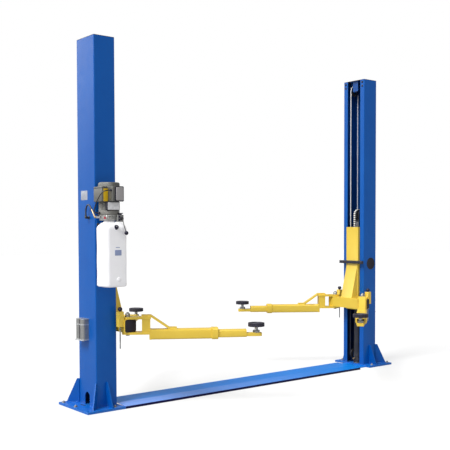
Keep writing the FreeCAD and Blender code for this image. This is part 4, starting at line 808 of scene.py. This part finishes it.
def guardBar():
    # black rubber bar with three ribs along its front; its two screws are not drawn
    body = shift(along(softBlock(0.015, 0.011, -0.152, 0.152, 0.004, 0.003), "Y"), 1.374, 0, 1.0295)
    ribs = [shift(along(softBlock(0.0026, 0.0035, -0.1505, 0.1505, 0.0024, 0.001), "Y"), 1.3628, 0, 1.0295 + dz)
            for dz in (-0.0095, 0.0, 0.0095)]
    return [body, *ribs]


def atLocks(shape):
    return [shift(shape, carriageSettings["lockX"], sign * carriageSettings["lockY"]) for sign in (1, -1)]


def lockKnobs():
    return atLocks(solid([(0.0095, 0.7422), (0.0095, 0.7475), (0.015, 0.7495), (0.0176, 0.7535), (0.018, 0.76),
                          (0.0168, 0.767), (0.013, 0.7725), (0.007, 0.7748), (0, 0.775)], 32))


def lockRods():
    return atLocks(solid([(0.0036, 0.457), (0.005, 0.4585), (0.005, 0.5), (0.0044, 0.5015), (0.0044, 0.5035),
                          (0.005, 0.505), (0.005, 0.598), (0.0082, 0.6), (0.0082, 0.606), (0.005, 0.608),
                          (0.005, 0.6249)], 20))


def pivotBolts():
    # flanged hexagon head with a stud end above, shank through the fork, castle nut below
    s, parts = carriageSettings, []
    for sign in (1, -1):
        group = [softDisc(0.02, 0.6978, 0.701, 0.001, 32), turnBy(hexHead(0.034, 0.7008, 0.7225), 12 * sign),
                 solid([(0.0105, 0.721), (0.0105, 0.729), (0.008, 0.7318)], 20),
                 solid([(0.0149, 0.56), (0.0149, 0.698)], 32),
                 turned([(0, 0.5612), (0.0175, 0.5612), (0.0175, 0.5592), (0.015, 0.559), (0.0142, 0.551),
                         (0.009, 0.5502), (0, 0.5502)], 6, 0.4)]
        parts += [shift(part, s["pinX"], sign * s["pinY"]) for part in group]
    return parts


carriageWelds = [((1.3, -0.069, 0.68), (1.3, 0.069, 0.68))]
for k in (1, -1):
    carriageWelds += [((1.3005, k * 0.0715, 0.68), (1.385, k * 0.0715, 0.68)),
                      ((1.3845, k * 0.0715, 0.685), (1.3845, k * 0.0715, 1.004)),
                      ((1.3865, k * 0.0785, 0.583), (1.3865, k * 0.0785, 0.677)),
                      ((1.3862, k * 0.1665, 0.628), (1.3862, k * 0.1665, 0.678))]
for side, way in sides:
    for title, parts, look, slot, *stood in (
            ("TubePlugs", tubePlugs(), "capPlastic", "cap_black", f"{side}_tube_end_caps"),
            ("GuardBar", guardBar(), "padRubber", "black_rubber", f"{side}_guard_bar"),
            ("LockRods", lockRods(), "coverZinc", "zinc_plate", f"{side}_arm_locks"),
            ("LockKnobs", lockKnobs(), "knobBakelite", "cap_black"),
            ("PivotBolts", pivotBolts(), "coverZinc", "zinc_plate", f"{side}_pivot_pins"),
            ("CarriageWelds", beadsAlong(carriageWelds, 0.0032, 0.0055), "armEnamel", "arm_yellow")):
        makePiece(side + title, sided(parts, way), look, f"{side}_carriage", stood)
print("carriage details made")

# ---- piston rods, rollers and lift chains, drawn on the right post's cylinder axis
liftSettings = {"x": 1.4635, "y": -0.008, "rod": 0.0225, "rodLow": 0.4, "rodTop": 1.43, "roller": 1.5,
                "rollerRadius": 0.0427, "loop": 0.05, "front": 1.1, "back": 0.35, "pitch": 0.01905}


def yokeParts():
    s = liftSettings
    radius, low, top = s["rod"], s["rodLow"], s["rodTop"]
    rod = solid([(radius - 0.001, low), (radius, low + 0.002), (radius, top - 0.013), (0.0285, top - 0.012),
                 (0.0285, top - 0.001), (0, top)], 40)
    parts = [softBlock(0.0248, 0.0298, 1.43, 1.45, 0.004, 0.0015)]
    for sign in (1, -1):
        cheek = along(turned([(0.0245, -0.0048), (0.025, -0.004), (0.025, 0.004), (0.0245, 0.0048)], 36), "Y")
        parts.append(shift(cheek, 0, sign * 0.025, 1.507))
        parts.append(shift(softBlock(0.0246, 0.0047, 1.447, 1.51, 0.002, 0.001), 0, sign * 0.025))
    axle = along(solid([(0.0075, -0.0345), (0.0095, -0.033), (0.0095, 0.033), (0.0075, 0.0345)]), "Y")
    parts.append(shift(axle, 0, 0, s["roller"]))
    wheel = turned([(0.01, -0.015), (0.04, -0.015), (0.048, -0.0148), (0.0495, -0.0138), (0.0485, -0.0126),
                    (s["rollerRadius"], -0.0122), (s["rollerRadius"], 0.0122), (0.0485, 0.0126), (0.0495, 0.0138),
                    (0.048, 0.0148), (0.04, 0.015), (0.01, 0.015)], 64)
    wheel = shift(along(wheel, "Y"), z=s["roller"])
    return [[shift(part, s["x"], s["y"]) for part in group] for group in ([rod], parts, [wheel])]


def chainPath(distance):
    # up the front strand, half round the roller, down the back strand: the place at a distance along it
    s = liftSettings
    x, roller, loop = s["x"], s["roller"], s["loop"]
    rise, arc = roller - s["front"], math.pi * loop
    if distance < rise:
        return np.array([x - loop, s["front"] + distance])
    if distance < rise + arc:
        turn = math.pi - (distance - rise) / loop
        return np.array([x + loop * math.cos(turn), roller + loop * math.sin(turn)])
    return np.array([x + loop, roller - (distance - rise - arc)])


def linkPlate(start, end, low, high):
    # two round ends joined by a waist: an outline in X and Z carried from low to high along Y
    span = np.linalg.norm(end - start)
    ahead = (end - start) / span
    beside = np.array([-ahead[1], ahead[0]])
    outline = []
    for centre, first in ((end, -90), (start, 90)):
        for a in np.radians(first + np.linspace(-20, 200, 9)):
            outline.append(centre + 0.0068 * (math.cos(a) * ahead + math.sin(a) * beside))
    outline.insert(9, (start + end) / 2 + 0.0046 * beside)
    outline.append((start + end) / 2 - 0.0046 * beside)
    outline = np.array(outline)
    rings = [np.column_stack([outline[:, 0], np.full(len(outline), y), outline[:, 1]]) for y in (low, high)]
    return shell(np.array(rings))


def liftChain():
    s = liftSettings
    total = s["roller"] - s["front"] + math.pi * s["loop"] + s["roller"] - s["back"]
    plates, pins = [], []
    for index in range(int(total / s["pitch"]) - 1):
        start, end = (chainPath(step * s["pitch"] + 0.008) for step in (index, index + 1))
        rows = ((-0.0103, -0.0083), (-0.0039, -0.0019), (0.0019, 0.0039), (0.0083, 0.0103)) if index % 2 else \
            ((-0.0081, -0.0061), (-0.0017, 0.0017), (0.0061, 0.0081))
        plates += [linkPlate(start, end, s["y"] + low, s["y"] + high) for low, high in rows]
        pin = solid([(0.0034, -0.0118), (0.004, -0.0112), (0.004, -0.0095), (0.007, -0.009), (0.0072, -0.008),
                     (0.0072, 0.008), (0.007, 0.009), (0.004, 0.0095), (0.004, 0.0112), (0.0034, 0.0118)], 12)
        pins.append(shift(along(pin, "Y"), start[0], s["y"], start[1]))
    return plates, pins


plates, pins = liftChain()
rod, yoke, wheel = yokeParts()
for side, way in sides:
    for title, parts, look, slot, node, *stood in (
            ("PistonRod", rod, "chromeRod", "chain_steel", "cylinder_rod", f"{side}_cylinder_rod"),
            ("Yoke", yoke, "channelBlack", "cylinder_black", "cylinder_rod"),
            ("Roller", wheel, "pulleyIron", "pulley_grey", "cylinder_rod"),
            ("ChainPlates", plates, "chainSteel", "chain_steel", "lift_chain", f"{side}_lift_chain"),
            ("ChainPins", pins, "linkEdge", "chain_steel", "lift_chain")):
        makePiece(side + title, sided(parts, way), look, bodyOf[f"{side}_{node}"], stood)

# ---- equalizing cables and their pulleys
cableSettings = {"x": 1.4775, "y": 0.059, "reach": 0.05, "low": 0.1, "high": 2.73, "radius": 0.0045,
                 "lay": 0.045, "step": 0.0055}


def cableLoop():
    # six strands: r = R (0.87 + 0.13 cos 6(a - 2 pi s / lay)) round a loop that is two straights and two half turns
    s = cableSettings
    straight, arc = s["high"] - s["low"], math.pi * s["reach"]
    total = 2 * (straight + arc)
    d = np.arange(int(total / s["step"])) * total / int(total / s["step"])
    reach, low, high = s["reach"], s["low"], s["high"]
    spans = [d < straight, d < straight + arc, d < 2 * straight + arc]
    upTurn, downTurn = np.pi - (d - straight) / reach, -(d - 2 * straight - arc) / reach
    x = np.select(spans, [-reach, reach * np.cos(upTurn), reach], reach * np.cos(downTurn))
    z = np.select(spans, [low + d, high + reach * np.sin(upTurn), high - (d - straight - arc)],
                  low + reach * np.sin(downTurn))
    path = np.column_stack([s["x"] + x, np.full(len(d), s["y"]), z])
    turns = round(total / s["lay"])
    radius = s["radius"] * (0.87 + 0.13 * np.cos(6 * angles(24) - 2 * np.pi * turns * d[:, None] / total))
    return tubeAlong(path, radius, 24, (0, 1, 0), True)


def sheave(height):
    # V groove between two rims, hub and a bolt through the cheeks
    s = cableSettings
    wheel = solid([(0.014, -0.01), (0.014, -0.0062), (0.046, -0.0062), (0.05, -0.0074), (0.0508, -0.0058),
                   (0.0452, -0.004), (0.0452, 0.004), (0.0508, 0.0058), (0.05, 0.0074), (0.046, 0.0062),
                   (0.014, 0.0062), (0.014, 0.01)], 72)
    bolt = [hexHead(0.016, 0.019, 0.027), softDisc(0.005, -0.028, -0.01, 0.001, 16),
            flip(hexHead(0.016, 0.019, 0.026), z=-1)]
    return ([shift(along(wheel, "Y"), s["x"], s["y"], height)],
            [shift(along(part, "Y"), s["x"], s["y"], height) for part in bolt])


loop = cableLoop()
wheels, bolts = [], []
for height in (cableSettings["low"], cableSettings["high"]):
    wheel, bolt = sheave(height)
    wheels, bolts = wheels + wheel, bolts + bolt
makePiece("rightCableLoop", [loop], "cableWire", replaced=("equalizer_cables",))
makePiece("leftCableLoop", sided([loop], -1), "cableWire")
makePiece("cableSheaves", wheels + sided(wheels, -1), "pulleyIron",
          replaced=("cable_pulleys",))
makePiece("sheaveBolts", bolts + sided(bolts, -1), "zincPlate")
print("lift gear made")

# ---- fixtures of the posts, drawn on the right post and half turned for the left one
postSettings = {"face": 1.5855, "open": 1.4055, "half": 0.1335, "plate": 0.018,
                "anchors": ((1.4595, 0.197), (1.4595, -0.197), (1.6895, -0.197), (1.6895, 0.0))}
coverSettings = {"deep": 0.058, "radius": 0.0245, "middle": -0.031, "pitch": 0.062, "low": 0.52, "high": 0.686}


def anchorBolts():
    s = postSettings
    return boltSet([(x, y, s["plate"]) for x, y in s["anchors"]], 0.018, 0.012)


def postWelds():
    s = postSettings
    z, gap = s["plate"] + 0.001, 0.0015
    lines = [((s["open"], k * (s["half"] + gap), z), (s["face"], k * (s["half"] + gap), z)) for k in (1, -1)]
    lines += [((s["face"] + gap, -s["half"], z), (s["face"] + gap, -0.046, z)),
              ((s["face"] + gap, 0.034, z), (s["face"] + gap, s["half"], z))]
    for k in (1, -1):
        root = np.array([s["face"], k * s["half"]])
        ahead = np.array([1, k]) / math.sqrt(2)
        beside = np.array([-ahead[1], ahead[0]]) * 0.0062
        for offset in (beside, -beside):
            lines.append(((*(root + offset + ahead * 0.004), z), (*(root + offset + ahead * 0.104), z)))
            x = 1.4955 + math.copysign(0.0062, offset[0])
            lines.append(((x, k * (s["half"] + 0.003), z), (x, k * (s["half"] + 0.091), z)))
            lines.append(((*(root + offset), z), (*(root + offset), 0.2)))
    return beadsAlong(lines, 0.0038, 0.006)


def accessPlug():
    disc = turned([(0, 0.0002), (0.04, 0.0004), (0.044, 0.0014), (0.051, 0.0014), (0.0535, 0.0021), (0.0568, 0.0019),
                   (0.058, 0.0008), (0.058, -0.003), (0, -0.003)], 72)
    return [shift(flip(along(disc, "Y"), 1, -1), 1.5085, -postSettings["half"], 1.015)]


def lobeRing(lobeY, grow, height):
    # straight sides and a half round front
    s = coverSettings
    axisX, back = postSettings["face"] + s["deep"] - s["radius"], postSettings["face"]
    radius = s["radius"] + grow
    arc = np.linspace(-np.pi / 2, np.pi / 2, 19)
    x = np.concatenate([[back, back + 0.012], axisX + radius * np.cos(arc), [back + 0.012, back]])
    y = np.concatenate([[-radius, -radius], radius * np.sin(arc), [radius, radius]]) + lobeY
    return np.column_stack([x, y, np.full(len(x), height)])


def lockCover():
    s = coverSettings
    sheets, edges, back = [], [], postSettings["face"]
    front = back + s["deep"]
    for sign in (1, -1):
        lobeY = s["middle"] + sign * s["pitch"] / 2
        high = s["high"]
        levels = [(-0.0005, 0.5235), (-0.0005, high - 0.0045), (-0.0005, high - 0.0035), (-0.004, high - 0.001),
                  (-0.012, high - 0.0005)]
        sheets.append(shell(np.array([lobeRing(lobeY, grow, height) for grow, height in levels])))
        for low, top, grow in ((high - 0.004, high - 0.0012, 0.0026), (0.637, 0.645, 0.0014),
                               (0.524, 0.5285, 0.002)):
            rows = ((grow - 0.0006, low), (grow, low + 0.0006), (grow, top - 0.0006), (grow - 0.0006, top))
            edges.append(shell(np.array([lobeRing(lobeY, width, height) for width, height in rows])))
        edges.append(shift(along(softDisc(0.0035, -0.0305, 0.0305, 0.001, 16), "Y"), front - 0.012, lobeY, 0.641))
        edges.append(shift(flip(hexHead(0.013, 0, 0.008), z=-1), front - s["radius"], lobeY, 0.5205))
    # painted shade: the web at the back of the groove between the lobes, and a strip set in that groove, are black
    # where shade falls
    web = softBlock(0.004, s["pitch"] / 2 + s["radius"] - 0.001, 0.5235, s["high"] - 0.003, 0.003, 0.001)
    groove = softBlock(0.0015, 0.01, 0.53, s["high"] - 0.008, 0.001, 0.0005)
    shadeStrips = [shift(web, back + 0.0041, s["middle"]), shift(groove, back + 0.0455, s["middle"])]
    foot = softBlock((s["deep"] + 0.004) / 2, s["pitch"] / 2 + s["radius"] + 0.0038, s["low"], 0.524, 0.005, 0.001)
    edges.append(shift(foot, back + (s["deep"] + 0.004) / 2, s["middle"]))
    return sheets, edges, shadeStrips


def lipBolts():
    places = [(postSettings["open"], y, z) for y in (0.108, -0.108) for z in (2.76, 2.798)]
    return boltSet(places, 0.013, 0.006, "X", -1)


def baseSlotShade():
    # painted shade: a black patch laid on the base plate beside the post, standing for the shade inside a short open
    # slot
    return [shift(softBlock(0.007, 0.036, 0.0172, 0.0184, 0.0069, 0.0003), 1.616, -0.021)]


def cylinderParts():
    # gland nut at the top, weld ring at the foot
    ring = [(0.0382, 1.166), (0.0398, 1.168), (0.0398, 1.198), (0.0385, 1.2005), (0.024, 1.2005), (0.024, 1.166)]
    foot = [(0.038, 0.018), (0.044, 0.018), (0.0425, 0.0225), (0.0385, 0.025), (0.038, 0.025)]
    return [shift(turned(profile, 48), liftSettings["x"], liftSettings["y"]) for profile in (ring, foot)]


def cylinderPort():
    # the oil inlet: an elbow at the cylinder's foot
    port = [solid([(0.0095, 0.036), (0.0095, 0.046), (0.007, 0.047), (0.007, 0.056)], 6),
            turned([(0, 0.046), (0.0062, 0.046), (0.0062, 0.0505), (0.0085, 0.052), (0.0085, 0.06), (0, 0.0605)], 24)]
    return [shift(flip(along(part, "X"), -1), liftSettings["x"], liftSettings["y"] + 0.006, 0.062) for part in port]


sheets, edges, shadeStrips = lockCover()
fixtures = (("anchorBolts", anchorBolts(), "coverZinc", "zinc_plate", ()),
            ("postWelds", postWelds(), "postEnamel", "post_blue", ()),
            ("accessPlugs", accessPlug(), "capPlastic", "cap_black", ("access_plugs",)),
            ("coverSheets", sheets, "coverZinc", "zinc_plate", ("lock_covers",)),
            ("coverEdges", edges, "rimZinc", "zinc_plate", ()),
            # painted shade: the black web and groove strip of the lock covers
            ("coverWebs", shadeStrips, "capPlastic", "zinc_plate", ()),
            ("lipBolts", lipBolts(), "channelBlack", "cylinder_black", ()),
            ("baseSlots", baseSlotShade(), "capPlastic", "cap_black", ()),
            ("cylinderGlands", cylinderParts(), "channelBlack", "cylinder_black", ()),
            ("cylinderPorts", cylinderPort(), "brassEnd", "zinc_plate", ()))
for title, parts, look, slot, stood in fixtures:
    makePiece(title, parts + sided(parts, -1), look, replaced=stood)
print("post fixtures made")

# ---- smaller parts of the power unit


def thinPlate(x, y, z, halfA, halfB, thick, axis, corner=0.003):
    # a thin plate whose face looks along -X or -Y, halfA across and halfB up
    halves = (halfB, halfA) if axis == "Y" else (halfA, halfB)
    block = along(softBlock(*halves, 0, thick, corner, 0.0004), axis)
    return shift(flip(block, **{axis.lower(): -1}), x, y, z)


def rivets(radius, high, places, axis):
    return [shift(flip(along(softDisc(radius, 0, high, 0.0006, 12), axis), **{axis.lower(): -1}), *place)
            for place in places]


def towards(part, direction):
    # a shape drawn up Z turned so that Z follows the direction
    matrix = np.array(Vector((0, 0, 1)).rotation_difference(Vector(direction)).to_matrix())
    return part[0] @ matrix.T, part[1]


plateSettings = {"motor": (-1.5232, -0.3012, 1.5407), "plinthY": -0.272, "post": (-1.5854, 0.0287, 1.6274),
                 "sticker": (-1.5815, -0.2889, 1.622), "label": (-1.5154, -0.3497, 1.1963),
                 "line": (-1.519, -0.3497, 1.235)}


def unitPlates():
    # blank plates and stickers: name, shapes, finish and slot
    s = plateSettings
    (x, y, z), (postX, postY, postZ) = s["motor"], s["post"]
    motorRivets = [(x + a, y - 0.0008, z + b) for a in (-0.044, 0.044) for b in (-0.023, 0.023)]
    postRivets = [(postX - 0.0008, postY + a, postZ + b) for a in (-0.045, 0.045) for b in (-0.03, 0.03)]
    return (("motorPlatePlinth", [thinPlate(x, s["plinthY"], z, 0.0525, 0.0315, 0.0295, "Y", 0.004)], "capPlastic",
             "motor_grey"),
            ("motorPlate", [thinPlate(x, y, z, 0.0485, 0.0275, 0.0012, "Y"), *rivets(0.0022, 0.0018, motorRivets, "Y")],
             "nameBlank", "motor_grey"),
            ("capacitorSticker", [thinPlate(*s["sticker"], 0.019, 0.047, 0.0006, "Y", 0.001)], "stickerYellow",
             "motor_grey"),
            ("tankLabel", [thinPlate(*s["label"], 0.0275, 0.0205, 0.0006, "Y", 0.002),
                           thinPlate(*s["line"], 0.017, 0.0024, 0.0006, "Y", 0.001)], "labelPale", "tank_white"),
            ("postPlate", [thinPlate(*s["post"], 0.05, 0.0355, 0.001, "X"), *rivets(0.0026, 0.002, postRivets, "X")],
             "plateBlank", "zinc_plate"))


for title, parts, look, slot in unitPlates():
    makePiece(title, parts, look)

redPlug = solid([(0.0085, 0), (0.0085, 0.004), (0.0075, 0.0052), (0.006, 0.0055), (0.006, 0.009), (0, 0.0095)])
makePiece("redPlug", [shift(towards(redPlug, (0, -1, 0)), -1.584, -0.2758, 1.453)], "capRed")

leverSettings = {"pin": (-1.4605, -0.322, 1.448), "tilt": 27, "long": 0.12, "ball": 0.015}
leverTilt = math.radians(leverSettings["tilt"])
leverHeading = Vector((0, -math.sin(leverTilt), -math.cos(leverTilt)))


def leverRod():
    s = leverSettings
    t = np.linspace(0, 1, 24)[:, None]
    path = np.array(s["pin"]) + np.array(leverHeading) * s["long"] * t + np.array([0, 0.003, 0]) * np.sin(np.pi * t)
    eye = along(turned([(0.003, -0.0035), (0.0062, -0.0035), (0.0068, -0.0028), (0.0068, 0.0028), (0.0062, 0.0035),
                        (0.003, 0.0035)], 24), "X")
    pin = along(solid([(0.0042, -0.009), (0.0042, -0.0074), (0.0024, -0.0074), (0.0024, 0.0074), (0.0042, 0.0074),
                       (0.0042, 0.009)], 16), "X")
    return [tubeAlong(path, 0.0029, 14, (1, 0, 0)), shift(eye, *s["pin"]), shift(pin, *s["pin"])]


def leverBall():
    s = leverSettings
    profile = [(0, -0.019), (0.0052, -0.019), (0.0056, -0.0145)]
    turn = np.linspace(-0.5 * np.pi, 0.5 * np.pi, 20)[3:]
    profile += [(s["ball"] * math.cos(t), s["ball"] * math.sin(t)) for t in turn]
    ballAt = Vector(s["pin"]) + leverHeading * s["long"]
    return [shift(towards(turned(profile, 36), leverHeading), *ballAt)]


makePiece("leverRod", leverRod(), "chainSteel", bodyOf["release_lever"], ("release_lever",))
makePiece("leverBall", leverBall(), "knobBakelite", bodyOf["release_lever"])


valveSettings = {"earY": -0.317, "earApart": 0.0055, "capX": -1.462, "capY": -0.293, "handleZ": 1.488, "nutX": -1.479,
                 "nutY": -0.3058, "nutZ": (1.438, 1.462)}


def valveParts():
    # ears that carry the lever, a cap nut on the valve and its cross handle
    s = valveSettings
    ear = along(softBlock(0.007, 0.011, -0.0015, 0.0015, 0.005, 0.0005), "X")
    pinX, _, pinZ = leverSettings["pin"]
    ears = [shift(ear, pinX + k * s["earApart"], s["earY"], pinZ) for k in (1, -1)]
    cap = shift(solid([(0.0125, 1.4755), (0.0125, 1.483), (0.0095, 1.486), (0, 1.487)]), s["capX"], s["capY"])
    handle = solid([(0.0026, -0.024), (0.0032, -0.022), (0.0024, -0.012), (0.0024, 0.012), (0.0032, 0.022),
                    (0.0026, 0.024)], 16)
    handle = shift(along(handle, "X"), s["capX"], s["capY"], s["handleZ"])
    nuts = [shift(towards(hexHead(0.014, 0, 0.007), (0, -1, 0)), s["nutX"], s["nutY"], z) for z in s["nutZ"]]
    return [*ears, cap, handle, *nuts]


makePiece("valveFittings", valveParts(), "knobBakelite")

fillerSettings = {"foot": (-1.529, -0.3355, 1.373), "tilt": 50, "ribs": 22, "ribDepth": 0.0011}


def fillerCap():
    # r = R - d (0.5 - 0.5 cos n a) on the grip, over a plain skirt
    s = fillerSettings
    profile = np.array([(0, 0), (0.0155, 0), (0.016, 0.01), (0.016, 0.0115), (0.0158, 0.0125), (0.016, 0.0135),
                        (0.016, 0.025), (0.0145, 0.0275), (0.01, 0.028), (0.009, 0.0268), (0, 0.0268)])
    grip = ((profile[:, 1] > 0.013) & (profile[:, 0] > 0.015)).astype(float)[:, None]
    radius = profile[:, :1] - s["ribDepth"] * grip * (0.5 - 0.5 * np.cos(s["ribs"] * angles(132)))
    cap = wound(radius, profile[:, 1])
    heading = (0, -math.sin(math.radians(s["tilt"])), math.cos(math.radians(s["tilt"])))
    spot = solid([(0.0028, 0.0262), (0.0028, 0.0274), (0.0022, 0.0279), (0, 0.028)], 20)
    return [shift(towards(part, heading), *s["foot"]) for part in (cap, spot)]


cap, spot = fillerCap()
makePiece("fillerCap", [cap], "knobBakelite", replaced=("filler_cap",))
makePiece("breather", [spot], "brightZinc")


def hexSleeve(flats, low, high):
    corner = flats / math.sqrt(3)
    return solid([(corner * 0.92, low), (corner, low + 0.0012), (corner, high - 0.0012), (corner * 0.92, high)], 6)


def ferrule(low, high, radius):
    # crimped sleeve with three pressed rings
    z = np.linspace(low, high, 19)
    r = radius * (1 - 0.07 * np.cos(2 * np.pi * 3 * (z - low) / (high - low)) ** 2)
    return solid(list(zip(r, z)))


fittingSettings = {"stem": (-1.6135, -0.185, 1.459), "stemUp": (0, 0.6561, 0.7547), "nippleX": -1.5698,
                   "outlet": (-1.5856, -0.044, 1.457), "elbow": (-1.6135, -0.044, 1.457),
                   "glands": ((-1.5605, -0.335, 1.655), (-1.5935, -0.222, 1.49))}
outward = (-1, 0, 0)


def hoseFittings():
    # the nipple on the pump block and its brass stem, then the elbow on the post
    s = fittingSettings
    nipple = [hexSleeve(0.0155, 0.0, 0.01), softDisc(0.0078, 0.009, 0.026, 0.001, 24), hexSleeve(0.015, 0.025, 0.036)]
    silver = [shift(towards(part, outward), s["nippleX"], *s["stem"][1:]) for part in nipple]
    bend = [(0, -0.0088), (0.0062, -0.0062), (0.0088, 0)]
    stem = [turned(bend + [(0.0072, 0.0056), (0.006, 0.008), (0.006, 0.046), (0, 0.046)], 24),
            hexSleeve(0.013, 0.012, 0.022), ferrule(0.044, 0.0758, 0.0064)]
    brass = [shift(towards(part, s["stemUp"]), *s["stem"]) for part in stem]
    outlet = [solid([(0.0125, 0), (0.0125, 0.003), (0.0085, 0.0045), (0.0085, 0.03)]), hexSleeve(0.0165, 0.01, 0.02)]
    elbow = [shift(towards(part, outward), *s["outlet"]) for part in outlet]
    rise = turned(bend + [(0.0086, 0.006), (0.0075, 0.009), (0.0075, 0.0208), (0, 0.0208)], 24)
    elbow.append(shift(rise, *s["elbow"]))
    return silver, brass, elbow


silver, brass, elbow = hoseFittings()
makePiece("hoseNipple", silver, "brightZinc", replaced=("hose_fittings",))
makePiece("hoseStem", brass, "brassEnd")
makePiece("hoseElbow", elbow, "hoseRubber")


def cableGlands():
    gland = [hexSleeve(0.015, 0.0, 0.0055),
             solid([(0.0076, 0.005), (0.0078, 0.0095), (0.0062, 0.013), (0.0046, 0.014)])]
    return [shift(towards(part, outward), *place) for place in fittingSettings["glands"] for part in gland]


makePiece("cableGlands", cableGlands(), "knobBakelite", replaced=("cable_glands",))


def bracketBolts():
    places = [(unit["x"] + x, -0.1415, z) for x in (-0.05, 0.05) for z in (1.405, 1.465)]
    return boltSet(places, 0.013, 0.007, "Y", -1)


makePiece("bracketBolts", bracketBolts(), "chainSteel")
print("unit details made")

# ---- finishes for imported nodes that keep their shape
dress("channelBlack", "cylinders")
dress("sliderNylon", "left_slider_blocks", "right_slider_blocks")

# ---- pale floor, white surroundings and soft lamps


def makeStage():
    # a pale floor; it looks near white to the camera and throws back less light than it shows
    outline = np.array([[-30, -30, 0], [30, -30, 0], [30, 30, 0], [-30, 30, 0]], float)
    mesh = bpy.data.meshes.new("floor")
    mesh.from_pydata(outline.tolist(), [], [[0, 1, 2, 3]])
    material = bpy.data.materials.new("paleFloor")
    material.use_nodes = True
    tree = material.node_tree
    shader, out = tree.nodes["Principled BSDF"], tree.nodes["Material Output"]
    seen = addNode(tree, "ShaderNodeLightPath").outputs["Is Camera Ray"]
    tree.links.new(blendColours(tree, seen, (0.46, 0.46, 0.47, 1), (0.86, 0.86, 0.86, 1)), shader.inputs["Base Color"])
    shader.inputs["Roughness"].default_value = 0.9
    shader.inputs["Specular IOR Level"].default_value = 0.1
    glow = addNode(tree, "ShaderNodeEmission", None, Color=(1, 1, 1, 1), Strength=1.0)
    both = addNode(tree, "ShaderNodeMixShader", None, n0=math2(tree, "MULTIPLY", seen, 0.6))
    tree.links.new(shader.outputs["BSDF"], both.inputs[1])
    tree.links.new(glow.outputs["Emission"], both.inputs[2])
    tree.links.new(both.outputs["Shader"], out.inputs["Surface"])
    mesh.materials.append(material)
    floor = bpy.data.objects.new("floor", mesh)
    bpy.context.scene.collection.objects.link(floor)


lightSettings = {"ambient": 0.7, "sheen": 0.3, "sun": 2.76, "softness": 22, "from": (-0.63, -0.08, 0.77)}


def makeLight():
    # white to the camera; gloss sees a dim room with bright walls at the back and the left, brighter higher up
    s = lightSettings
    world = bpy.data.worlds.new("studio")
    world.use_nodes = True
    tree = world.node_tree
    background = tree.nodes["Background"]
    background.inputs["Color"].default_value = (1, 1, 1, 1)
    path = addNode(tree, "ShaderNodeLightPath")
    look = addNode(tree, "ShaderNodeSeparateXYZ", None, Vector=addNode(tree, "ShaderNodeTexCoord").outputs["Generated"])
    backWall = math2(tree, "MULTIPLY", spread(tree, look.outputs["X"], 0.7, 0.45, 0.0, 0.25),
                     spread(tree, look.outputs["Y"], -0.2, 0.2, 0.0, 1.0))
    leftWall = math2(tree, "MULTIPLY", spread(tree, look.outputs["X"], 0.1, -0.4, 0.0, 1.0),
                     spread(tree, look.outputs["Z"], 0.06, 0.32, 0.05, 4.4))
    sheen = math2(tree, "ADD", math2(tree, "ADD", backWall, leftWall), s["sheen"])
    glossy = spread(tree, path.outputs["Is Glossy Ray"], 0, 1, s["ambient"], sheen)
    tree.links.new(spread(tree, path.outputs["Is Camera Ray"], 0, 1, glossy, 1.0), background.inputs["Strength"])
    bpy.context.scene.world = world
    lamp = bpy.data.lights.new("key", "SUN")
    lamp.energy, lamp.angle = s["sun"], math.radians(s["softness"])
    key = bpy.data.objects.new("key", lamp)
    key.rotation_mode = "QUATERNION"
    key.rotation_quaternion = Vector(s["from"]).to_track_quat("Z", "Y")
    bpy.context.scene.collection.objects.link(key)


makeStage()
makeLight()
bpy.context.scene.view_settings.view_transform = "Standard"
